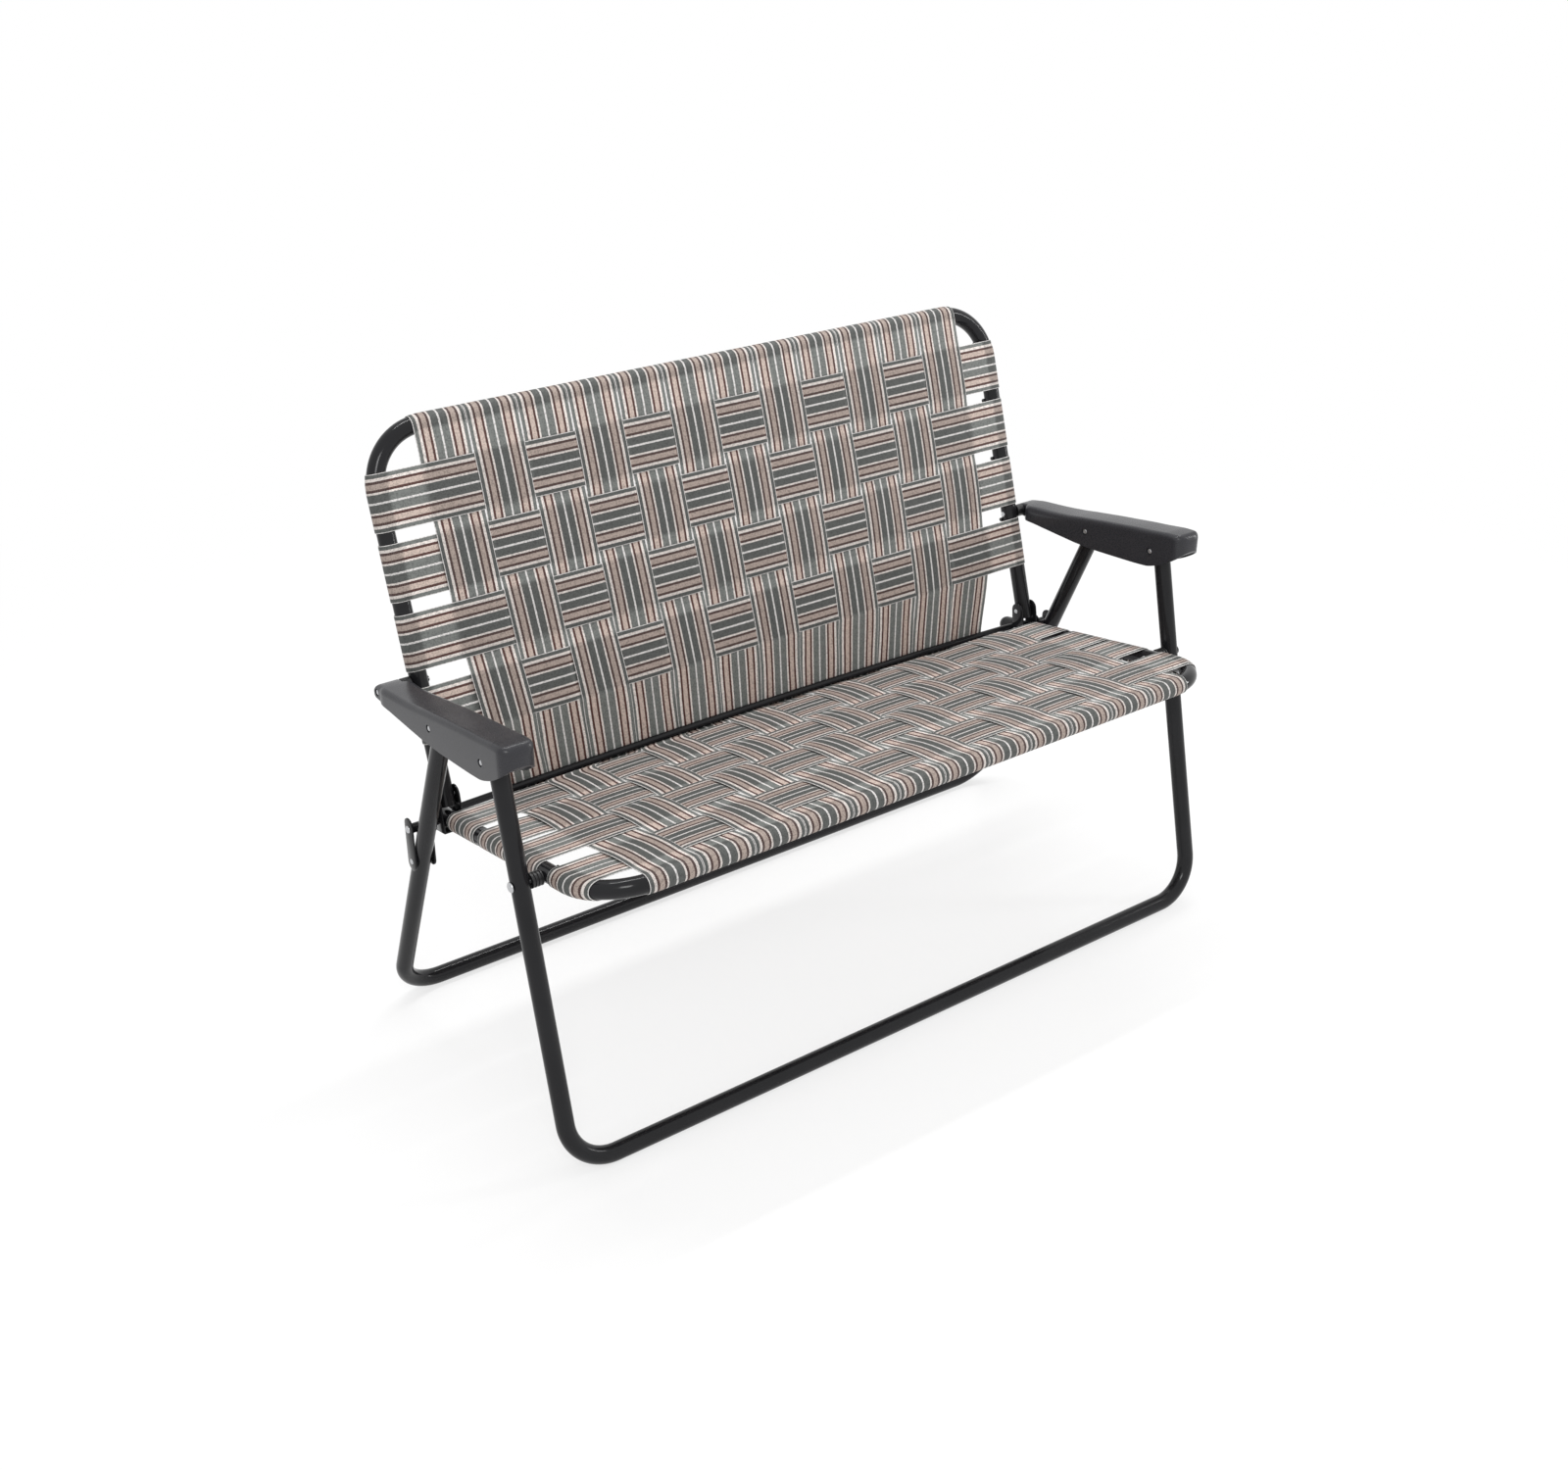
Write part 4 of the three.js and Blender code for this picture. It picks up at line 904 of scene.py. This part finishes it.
def arm_section(side, along, inset, overrun):
    """One section across an arm rest, drawn in by the inset and let down by the overrun."""
    way = minus(ARM_FRONT_PIVOT, ARM_BACK_PIVOT)
    y = ARM_REAR_END - ARM_LENGTH * along
    line = ARM_BACK_PIVOT[1] + (ARM_BACK_PIVOT[0] - y) * way[1] / -way[0]
    under = line - ARM_DEPTH * eased(ARM_ALONG, ARM_UNDER, along) - overrun
    top = line + ARM_DEPTH * eased(ARM_ALONG, ARM_TOP, along) - inset
    full = eased(ARM_ALONG, ARM_WIDTH, along)
    # The inner side lies at least this far past the neck's, and less at the very end
    nose = 3 * MM * (1 + smooth_step(0, 0.012, along))
    inner = LEG_HALF_WIDTH - NECK_INNER - max((ARM_INNER - NECK_INNER) * full, nose) + inset
    outer = LEG_HALF_WIDTH + NECK_OUTER + (ARM_OUTER - NECK_OUTER) * full - inset
    # Both front corners are round in plan
    into_corner = max(0.0, ARM_CORNER_RADIUS - ARM_LENGTH * (1 - along))
    drawn_in = ARM_CORNER_RADIUS - math.sqrt(ARM_CORNER_RADIUS ** 2 - into_corner ** 2)
    inner, outer = inner + drawn_in, outer - drawn_in
    # The inner top edge is softer toward the rear, but for the very end
    limit = min((top - under) / 2.2, (outer - inner) / 2.4)
    radius = sizes().arm_edge_radius - inset
    edge = max(0.3 * MM, min(radius, limit))
    soft = max(0.3 * MM, min(radius + 4 * MM * (1 - smooth_step(0.1, 0.4, along)), limit))
    soft *= 0.35 + 0.65 * smooth_step(0.0, 0.14, along)
    points = [(inner, under), (outer, under)]
    points += arc((outer - edge, top - edge), edge, 0, math.pi / 2, 8)
    points += arc((inner + soft, top - soft), soft, math.pi / 2, math.pi, 8)
    return [(side * x, y, z) for x, z in points]


class BENCH_OT_arm_rests(bpy.types.Operator):
    """Makes the moulded arm rests, hollow and open underneath"""
    bl_idname = "bench.arm_rests"
    bl_label = "Arm rests"

    def execute(self, context):
        wall, past = sizes().arm_wall, 2 * MM
        stations = sorted(set([i / 90 for i in range(91)] + [s for s in ARM_ALONG if s < 0.05 or s > 0.95]
                              + [0.003, 0.01, 0.023, 0.96, 0.975, 0.987, 0.993, 0.998]))
        share = wall / ARM_LENGTH
        hollow = [share] + [s for s in stations if share * 2 < s < 1 - share * 2] + [1 - share]
        inner, outer, neck = (LEG_HALF_WIDTH + off for off in (-ARM_INNER, ARM_OUTER, NECK_OUTER))
        recesses = []
        for centre in (ARM_REAR_PIVOT, ARM_FRONT_PIVOT):
            recesses.append((centre, inner - past, inner + RECESS_DEPTH, 4.6 * MM))
            recesses.append((centre, outer - RECESS_DEPTH, outer + past, 4.6 * MM))
        recesses.append((ARM_BACK_PIVOT, neck - RECESS_DEPTH, neck + past, 4.4 * MM))
        for name, side in (("right", 1), ("left", -1)):
            base = loft([arm_section(side, s, 0.0, 0.0) for s in stations])
            cutters = [loft([arm_section(side, s, wall, wall + past) for s in hollow])]
            for centre, x0, x1, radius in recesses:
                cutters.append(turned([(x0, radius), (x1, radius)], centre, side, 40))
            mesh = cut(f"arm_rest_{name}", base, cutters)
            piece = show(f"arm_rest_{name}", mesh, finish("Moulded plastic"), 32.0)
            settle_on(piece, "arms", "armrest", f"arm_{name}")
        return {"FINISHED"}


# Webbing

def long_over(index, row):
    """1 where a long strap passes over the cross strap of a row, and -1 where it passes under."""
    return -1 if (index + row) % 2 == 0 else 1


def weave_height(at, middles, over, half, start_level, end_level, bulge):
    """Height of a strap over the middle of the weave, at a place along it."""
    lift, overlap, ease = sizes().strap_lift, 3 * MM, 16 * MM
    levels = [start_level] + [lift * way for way in over] + [end_level]
    height = levels[0]
    for i, level in enumerate(levels[1:]):
        start = middles[i - 1] + half - overlap if i > 0 else middles[0] - half - ease
        end = middles[i] - half + overlap if i < len(middles) else middles[-1] + half + ease
        height += (level - levels[i]) * smooth_step(start, end, at)
    for middle, way in zip(middles, over):
        off = abs(at - middle) / half
        if off < 1:
            height += way * bulge * (1 - off * off)
    return height


def bend_drop(past):
    """How far a panel's tube has bent away, this far past the start of its bend."""
    return PANEL_BEND - math.sqrt(PANEL_BEND ** 2 - min(PANEL_BEND * 0.9, max(0.0, past)) ** 2)


def wrap_points(bend, radius, steps=22):
    """A strap's wrap round a bar from its tucked end to the panel's plane, as (down, out) pairs."""
    lean = 1 - bend / PANEL_BEND
    turns = [WRAP_ANGLE * (1 - i / steps) for i in range(steps)]
    return [(bend - radius * math.sin(turn) / lean, radius * math.cos(turn)) for turn in turns]


def strap_piece(name, columns, places, backing):
    """A closed strap from lines of middle surface points, one at each place across it, and its length.

    The UV map holds each point's place on the flat strap, in metres."""
    grid = np.array(columns).swapaxes(0, 1)
    normal = np.cross(np.gradient(grid, axis=1), np.gradient(grid, axis=0))
    normal /= np.linalg.norm(normal, axis=2, keepdims=True)
    rows, count = grid.shape[:2]
    # The edges are rolled thinner, as a woven selvedge is
    thin = np.ones(count)
    thin[0] = thin[-1] = 0.55
    offset = normal * (sizes().strap_thickness / 2) * thin[None, :, None]
    points = np.concatenate([(grid + offset).reshape(-1, 3), (grid - offset).reshape(-1, 3)])
    steps = np.linalg.norm(np.diff(grid[:, count // 2], axis=0), axis=1)
    length_at = np.concatenate([[0.0], np.cumsum(steps)])
    flat = np.array([(place, length) for length in length_at for place in places] * 2)
    total = rows * count
    faces = []

    def add_edge_face(a, b, way):
        faces.append((a, b, total + b, total + a)[::way])

    for j in range(rows - 1):
        for k in range(count - 1):
            a = j * count + k
            faces.append((a, a + 1, a + count + 1, a + count))
            faces.append(tuple(total + i for i in (a, a + count, a + count + 1, a + 1)))
        for a, way in ((j * count, 1), (j * count + count - 1, -1)):
            add_edge_face(a, a + count, way)
    for k in range(count - 1):
        for a, way in ((k, 1), ((rows - 1) * count + k, -1)):
            add_edge_face(a + 1, a, way)
    mesh = bpy.data.meshes.new(name)
    mesh.from_pydata(points.tolist(), [], faces)
    layer = mesh.uv_layers.new(name="strap")
    corners = np.empty(len(mesh.loops), np.int32)
    mesh.loops.foreach_get("vertex_index", corners)
    layer.data.foreach_set("uv", flat[corners].astype(np.float32).ravel())
    # The painted shade mask: how much lies behind each point, which darkens its colour
    shade = mesh.attributes.new("backing", "FLOAT", "POINT")
    shade.data.foreach_set("value", np.tile(np.repeat(np.array(backing, np.float32), count), 2))
    face_outwards(mesh)
    return show(name, mesh, finish("Striped webbing"), 60.0), float(length_at[-1])


def across_places(width, count=9):
    """Places across a strap, closer together at its edges."""
    inner = [width * (i / (count - 3) - 0.5) * 0.975 for i in range(count - 2)]
    return [-width / 2] + inner + [width / 2]


def painted_backing_shade_at(at, middles, half, past_tube):
    """How much painted shade a strap gets here from what lies behind it: all at a tube and where it crosses a
    strap, with soft edges.
    """
    soft = 2.5 * MM
    crossed = [1 - smooth_step(half - soft, half + soft, abs(at - middle)) for middle in middles]
    return max(crossed + [1 - smooth_step(0, 3 * MM, past_tube)])


def touching(start, centre, reach, way_round):
    """Where a straight run from the start touches a circle, turned to this side of its centre."""
    gap = minus(centre, start)
    length = math.hypot(*gap)
    turn = way_round * math.asin(reach / length)
    y, z = unit(gap)
    way = (y * math.cos(turn) - z * math.sin(turn), z * math.cos(turn) + y * math.sin(turn))
    return plus(start, way, math.sqrt(length ** 2 - reach ** 2))


def wrap_radius():
    return sizes().tube_diameter / 2 + sizes().strap_thickness / 2 + TUBE_GAP


def long_line(index, offset):
    """One line along a long strap, this far off its middle, and its painted shade, how much lies behind it,
    at each point.
    """
    size = sizes()
    radius = wrap_radius()
    on_tube = radius - STRAP_PLANE
    middle_x = STRAP_PITCH * (index - (STRAP_COUNT - 1) / 2)
    aside = middle_x / (STRAP_PITCH * (STRAP_COUNT - 1) / 2 + size.strap_width / 2)
    x_full = middle_x + offset
    bend = bend_drop(abs(x_full) - PANEL_HALF_WIDTH + PANEL_BEND)
    # The same for the rows of the back, from the top bar down, and of the seat, from the crease forward
    over = [long_over(index, row) for row in range(len(BACK_ROWS))]
    last_level, first_level = size.strap_lift * over[-1], size.strap_lift * over[0]
    back_end = BACK_ROWS[-1] + ROW_HALF + 1 * MM
    seat_end = SEAT_FULL - 20 * MM
    line, behind = [], []

    # Each point carries its painted shade: 1 where a tube or a strap behind darkens it fully
    def add_point(x, place, backing):
        line.append((x, *place))
        behind.append(backing)

    def x_at(early, late, extra=0.0):
        """Place across the bench, drawn aside by the cross straps (early) and by the crease rod (late)."""
        pulled = (ROD_DRAW_ASIDE - ROD_DRAW_IN * aside) * late - ROWS_DRAW_IN * aside * early ** 2
        return x_full + pulled + extra

    def seat_x(down):
        share = clamped((down - SEAT_FULL + SEAT_DRAW_LENGTH) / SEAT_DRAW_LENGTH)
        return x_at(share, share ** 2)

    def ripple(down):
        """How far the strap's edges wander, at this place off its middle."""
        return MM * math.sin(down / RIPPLE_LENGTH + index * RIPPLE_SHIFT) * offset / (size.strap_width / 2)

    # Round the top bar and down the back
    for down, out in wrap_points(bend, radius):
        add_point(x_full, panel_place(BACK_PANEL, down, out), 1.0)
    for i in range(BACK_STEPS + 1):
        down = bend * (1 - i / BACK_STEPS) ** 3 + back_end * i / BACK_STEPS
        share = clamped((down - BACK_DRAW_START) / (back_end - BACK_DRAW_START))
        height = weave_height(down, BACK_ROWS, over, ROW_HALF, on_tube, last_level, size.back_bulge)
        x = x_at(share, 0.0, 0.5 * share * ripple(down))
        add_point(x, panel_place(BACK_PANEL, down, STRAP_PLANE + height),
                  painted_backing_shade_at(down, BACK_ROWS, ROW_HALF, down - bend - BAR_SHADE))
    # Straight down to the crease rod, round behind and under it, and on to the seat's plane
    centre = crease_centre(x_at(1.0, 1.0))
    rod = size.crease_rod_diameter / 2 + size.strap_thickness / 2 + ROD_GAP
    leave = panel_place(BACK_PANEL, back_end, STRAP_PLANE + last_level)
    reach = rod + size.strap_lift - last_level
    touch = touching(leave, centre, reach, 1)
    arrive = panel_place(SEAT_PANEL, seat_end, STRAP_PLANE + first_level)
    seat_reach = rod + size.strap_lift - first_level
    seat_touch = touching(arrive, centre, seat_reach, -1)
    for i in range(1, DROP_STEPS + 1):
        passed = i / DROP_STEPS
        place = plus(leave, minus(touch, leave), passed)
        down = dot(minus(place, TOP_BAR), BACK_DOWN)
        share = clamped((down - back_end) / (BACK_FULL - back_end))
        wave = (0.5 + 1.1 * math.sin(math.pi * passed)) * (1 - passed) ** 0.5 * ripple(down)
        add_point(x_at(1.0, share, wave), place, 0.0)
    from_angle, to_angle = (math.atan2(*minus(place, centre)[::-1]) for place in (touch, seat_touch))
    if from_angle < to_angle:
        from_angle += 2 * math.pi
    for i in range(1, ROD_STEPS + 1):
        angle = from_angle + (to_angle - from_angle) * i / ROD_STEPS
        here = reach + (seat_reach - reach) * smooth_step(0, 1, i / ROD_STEPS)
        add_point(x_at(1.0, 1.0), plus(centre, (math.cos(angle), math.sin(angle)), here), 1.0)
    # Where the strap rises from under the rod it gets a little painted shade
    for i in range(1, RISE_STEPS + 1):
        place = plus(seat_touch, minus(arrive, seat_touch), i / RISE_STEPS)
        add_point(seat_x(dot(minus(place, FRONT_BAR), RAIL_BACK)), place, 0.3)
    # Along the seat to the front bar and round it
    rows = [SEAT_FULL - row for row in SEAT_ROWS][::-1]
    for i in range(1, SEAT_STEPS + 1):
        down = seat_end * (1 - i / SEAT_STEPS) + bend * (i / SEAT_STEPS) ** 3
        height = weave_height(down, rows, over[::-1], ROW_HALF, on_tube, first_level, size.seat_bulge)
        add_point(seat_x(down), panel_place(SEAT_PANEL, down, STRAP_PLANE + height),
                  painted_backing_shade_at(down, rows, ROW_HALF, down - bend - BAR_SHADE))
    for down, out in wrap_points(bend, radius)[::-1]:
        add_point(x_full, panel_place(SEAT_PANEL, down, out), 1.0)
    return line, behind


def long_strap(index):
    """A strap from the top bar down the back, round behind the crease rod and on to the front bar."""
    width = sizes().strap_width
    places = across_places(width)
    lines = [long_line(index, offset) for offset in places]
    piece, length = strap_piece(f"long_strap_{index + 1}", [line for line, _ in lines], places, lines[-1][1])
    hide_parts(f"long_web_back_{index + 1}", f"long_web_seat_{index + 1}")
    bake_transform(piece)


def cross_strap(body, panel, row, place_down, bulge):
    """A strap across the back's or the seat's panel, round both side tubes."""
    radius = wrap_radius()
    on_tube = radius - STRAP_PLANE
    middles = [STRAP_PITCH * (i - (STRAP_COUNT - 1) / 2) for i in range(STRAP_COUNT)]
    over = [-long_over(i, row) for i in range(STRAP_COUNT)]
    places = across_places(sizes().strap_width)
    columns = []
    for offset in places:
        down = place_down + offset
        bend = bend_drop(PANEL_BEND - down)
        centre = PANEL_HALF_WIDTH - bend
        wrap = [(x - PANEL_HALF_WIDTH, out) for x, out in wrap_points(bend, radius)]
        # The wraps round the side tubes get full painted shade
        line, backing = list(wrap), [1.0] * len(wrap)
        for i in range(CROSS_STEPS + 1):
            x = -centre + 2 * centre * i / CROSS_STEPS
            height = weave_height(x, middles, over, CROSSED_HALF, on_tube, on_tube, bulge)
            line.append((x, STRAP_PLANE + height))
            backing.append(painted_backing_shade_at(x, middles, CROSSED_HALF, centre - abs(x) - SIDE_TUBE_SHADE))
        line += [(-x, out) for x, out in wrap[::-1]]
        backing += [1.0] * len(wrap)
        columns.append([(x, *panel_place(panel, down, out)) for x, out in line])
    piece, length = strap_piece(f"cross_strap_{body}_{row + 1}", columns, places, backing)
    settle_on(piece, body, "webbing", f"cross_web_{body}_{row + 1}")


class BENCH_OT_long_straps(bpy.types.Operator):
    """Makes the twelve straps that run from the top bar to the front bar"""
    bl_idname = "bench.long_straps"
    bl_label = "Long straps"

    def execute(self, context):
        for index in range(STRAP_COUNT):
            long_strap(index)
        return {"FINISHED"}


class BENCH_OT_cross_straps(bpy.types.Operator):
    """Makes the four straps across the back and the four across the seat"""
    bl_idname = "bench.cross_straps"
    bl_label = "Cross straps"

    def execute(self, context):
        for row, down in enumerate(BACK_ROWS):
            cross_strap("back", BACK_PANEL, row, down, 0.4 * MM)
        for row, forward in enumerate(SEAT_ROWS):
            cross_strap("seat", SEAT_PANEL, row, SEAT_FULL - forward, 0.6 * MM)
        return {"FINISHED"}


class BENCH_OT_strap_clips(bpy.types.Operator):
    """Makes the small clips that hold the tucked ends of the cross straps on the uprights"""
    bl_idname = "bench.strap_clips"
    bl_label = "Strap clips"

    def execute(self, context):
        outer, inner, radius, round_off = 462 * MM, 457.6 * MM, 2.6 * MM, 0.4 * MM
        profile = [(outer, radius), (inner + round_off, radius), (inner, radius - round_off)]
        places = [panel_place(BACK_PANEL, row - ROW_HALF, -6 * MM) for row in BACK_ROWS]
        make_nylon("strap_clips", turned_on_both_sides(profile, places, 16), "back", "spacer")
        return {"FINISHED"}


# Stage

PHOTO_WIDTH, PHOTO_HEIGHT = 1600, 1500
# The fitted camera: focal length and picture centre in pixels, place, and azimuth, elevation and roll
# in degrees
PHOTO_FOCAL = 1920.62
PHOTO_CENTRE = (797.4, 743.5)
CAMERA_PLACE = (-1312.2 * MM, -1712.6 * MM, 1453.3 * MM)
CAMERA_TURN = (-36.316, 27.411, -0.065)


def make_lamp(name, place, target, size, power):
    lamp = bpy.data.lights.new(name, "AREA")
    lamp.shape = "RECTANGLE"
    lamp.size, lamp.size_y = size
    lamp.energy = power
    item = put(name, lamp)
    item.location = place
    item.rotation_euler = (Vector(target) - Vector(place)).to_track_quat("-Z", "Y").to_euler()


def make_camera(name):
    camera = bpy.data.cameras.new(name)
    camera.sensor_width = 36.0
    camera.lens = PHOTO_FOCAL / PHOTO_WIDTH * camera.sensor_width
    camera.shift_x = (PHOTO_WIDTH / 2 - PHOTO_CENTRE[0]) / PHOTO_WIDTH
    camera.shift_y = (PHOTO_CENTRE[1] - PHOTO_HEIGHT / 2) / PHOTO_WIDTH
    camera.clip_start, camera.clip_end = 0.05, 60.0
    azimuth, elevation, roll = map(math.radians, CAMERA_TURN)
    ahead = Vector((-math.sin(azimuth) * math.cos(elevation), math.cos(azimuth) * math.cos(elevation),
                    -math.sin(elevation)))
    item = put(name, camera)
    item.location = CAMERA_PLACE
    turn = ahead.to_track_quat("-Z", "Y").to_matrix()
    item.rotation_euler = (turn @ Matrix.Rotation(-roll, 3, "Z")).to_euler()
    return item


def seen(tree):
    """1 for rays from the camera, a reflection or through a piece, and 0 for light on the pieces."""
    path = add(tree, "ShaderNodeLightPath").outputs
    direct = maths(tree, "MAXIMUM", path["Is Camera Ray"], path["Is Glossy Ray"])
    return maths(tree, "MAXIMUM", direct, path["Is Transmission Ray"])


def pale_floor(name):
    # Paper sweep: matt, near white, faintly cloudy. Seen directly it glows mostly white, wholly so away from
    # the bench, and still keeps the shadow.
    material, tree, shader = start_material(name, {"Roughness": 0.9})
    place = add(tree, "ShaderNodeTexCoord").outputs["Object"]
    drifting_colour(tree, shader, noise(tree, 1 / 1.5, 2.0), colours().floor, (0.3, 0.985), (0.7, 1.0))
    away = add(tree, "ShaderNodeVectorMath", {"operation": "LENGTH"}, {0: place}).outputs["Value"]
    white = add(tree, "ShaderNodeMapRange", {"interpolation_type": "SMOOTHSTEP"},
                {"Value": away, "From Min": 0.7, "From Max": 2.2, "To Min": 0.68, "To Max": 1.0})
    share = maths(tree, "MULTIPLY", seen(tree), white.outputs["Result"])
    paper = add(tree, "ShaderNodeEmission", inputs={"Color": (1, 1, 1, 1), "Strength": 1.0})
    both = add(tree, "ShaderNodeMixShader",
               inputs={0: share, 1: shader.outputs["BSDF"], 2: paper.outputs["Emission"]})
    output = next(item for item in tree.nodes if item.type == "OUTPUT_MATERIAL")
    tree.links.new(both.outputs["Shader"], output.inputs["Surface"])
    return material


class BENCH_OT_studio(bpy.types.Operator):
    """Makes the pale floor, the soft lamps, the white world and the camera"""
    bl_idname = "bench.studio"
    bl_label = "Studio"

    def execute(self, context):
        scene = context.scene
        reach = 6.0
        floor = bpy.data.meshes.new("studio_floor")
        corners = [(x * reach, y * reach, 0) for x, y in ((-1, -1), (1, -1), (1, 1), (-1, 1))]
        floor.from_pydata(corners, [], [(0, 1, 2, 3)])
        show("studio_floor", floor, pale_floor("Pale studio floor"))

        world = bpy.data.worlds.new("Soft white studio")
        world.use_nodes = True
        scene.world = world
        tree = world.node_tree
        tree.nodes.clear()
        ambient, white = (
            add(tree, "ShaderNodeBackground", inputs={"Color": (1, 1, 1, 1), "Strength": strength})
            for strength in (0.8, 1.0))
        both = add(tree, "ShaderNodeMixShader", inputs={0: seen(tree), 1: ambient.outputs["Background"],
                                                        2: white.outputs["Background"]})
        add(tree, "ShaderNodeOutputWorld", inputs={"Surface": both.outputs["Shader"]})

        make_lamp("key_lamp", (-1.6, -2.2, 2.6), (0, 0, 0.4), (0.9, 0.9), 27)
        make_lamp("side_strip", (2.6, -1.2, 1.3), (0, 0, 0.4), (0.08, 1.8), 18)
        make_lamp("top_strip", (0.6, 0.6, 2.6), (0.6, 0, 0.4), (2.6, 0.08), 30)
        scene.camera = make_camera("photo_camera")
        scene.view_settings.view_transform = "Standard"
        return {"FINISHED"}


PIECE_OPERATORS = (BENCH_OT_leg_frames, BENCH_OT_panel_frames, BENCH_OT_crease_rod, BENCH_OT_hinge_brackets,
                   BENCH_OT_link_plates, BENCH_OT_fasteners, BENCH_OT_spacers, BENCH_OT_arm_rests,
                   BENCH_OT_long_straps, BENCH_OT_cross_straps, BENCH_OT_studio, BENCH_OT_strap_clips)


class BENCH_PT_pieces(bpy.types.Panel):
    """Lists the bench's sizes, colours and pieces"""
    bl_label = "Folding bench"
    bl_idname = "BENCH_PT_pieces"
    bl_space_type = "VIEW_3D"
    bl_region_type = "UI"
    bl_category = "Bench"

    def draw(self, context):
        for group in (context.scene.bench_sizes, context.scene.bench_colours):
            for name in group.__annotations__:
                self.layout.prop(group, name)
        for operator in PIECE_OPERATORS:
            self.layout.operator(operator.bl_idname)


CLASSES = (BenchSizes, BenchColours) + PIECE_OPERATORS + (BENCH_PT_pieces,)


def register():
    for item in CLASSES:
        bpy.utils.register_class(item)
    bpy.types.Scene.bench_sizes = bpy.props.PointerProperty(type=BenchSizes)
    bpy.types.Scene.bench_colours = bpy.props.PointerProperty(type=BenchColours)


def unregister():
    del bpy.types.Scene.bench_colours
    del bpy.types.Scene.bench_sizes
    for item in reversed(CLASSES):
        bpy.utils.unregister_class(item)


def main():
    register()
    for operator in PIECE_OPERATORS:
        group, name = operator.bl_idname.split(".")
        getattr(getattr(bpy.ops, group), name)()


if __name__ == "__main__":
    main()
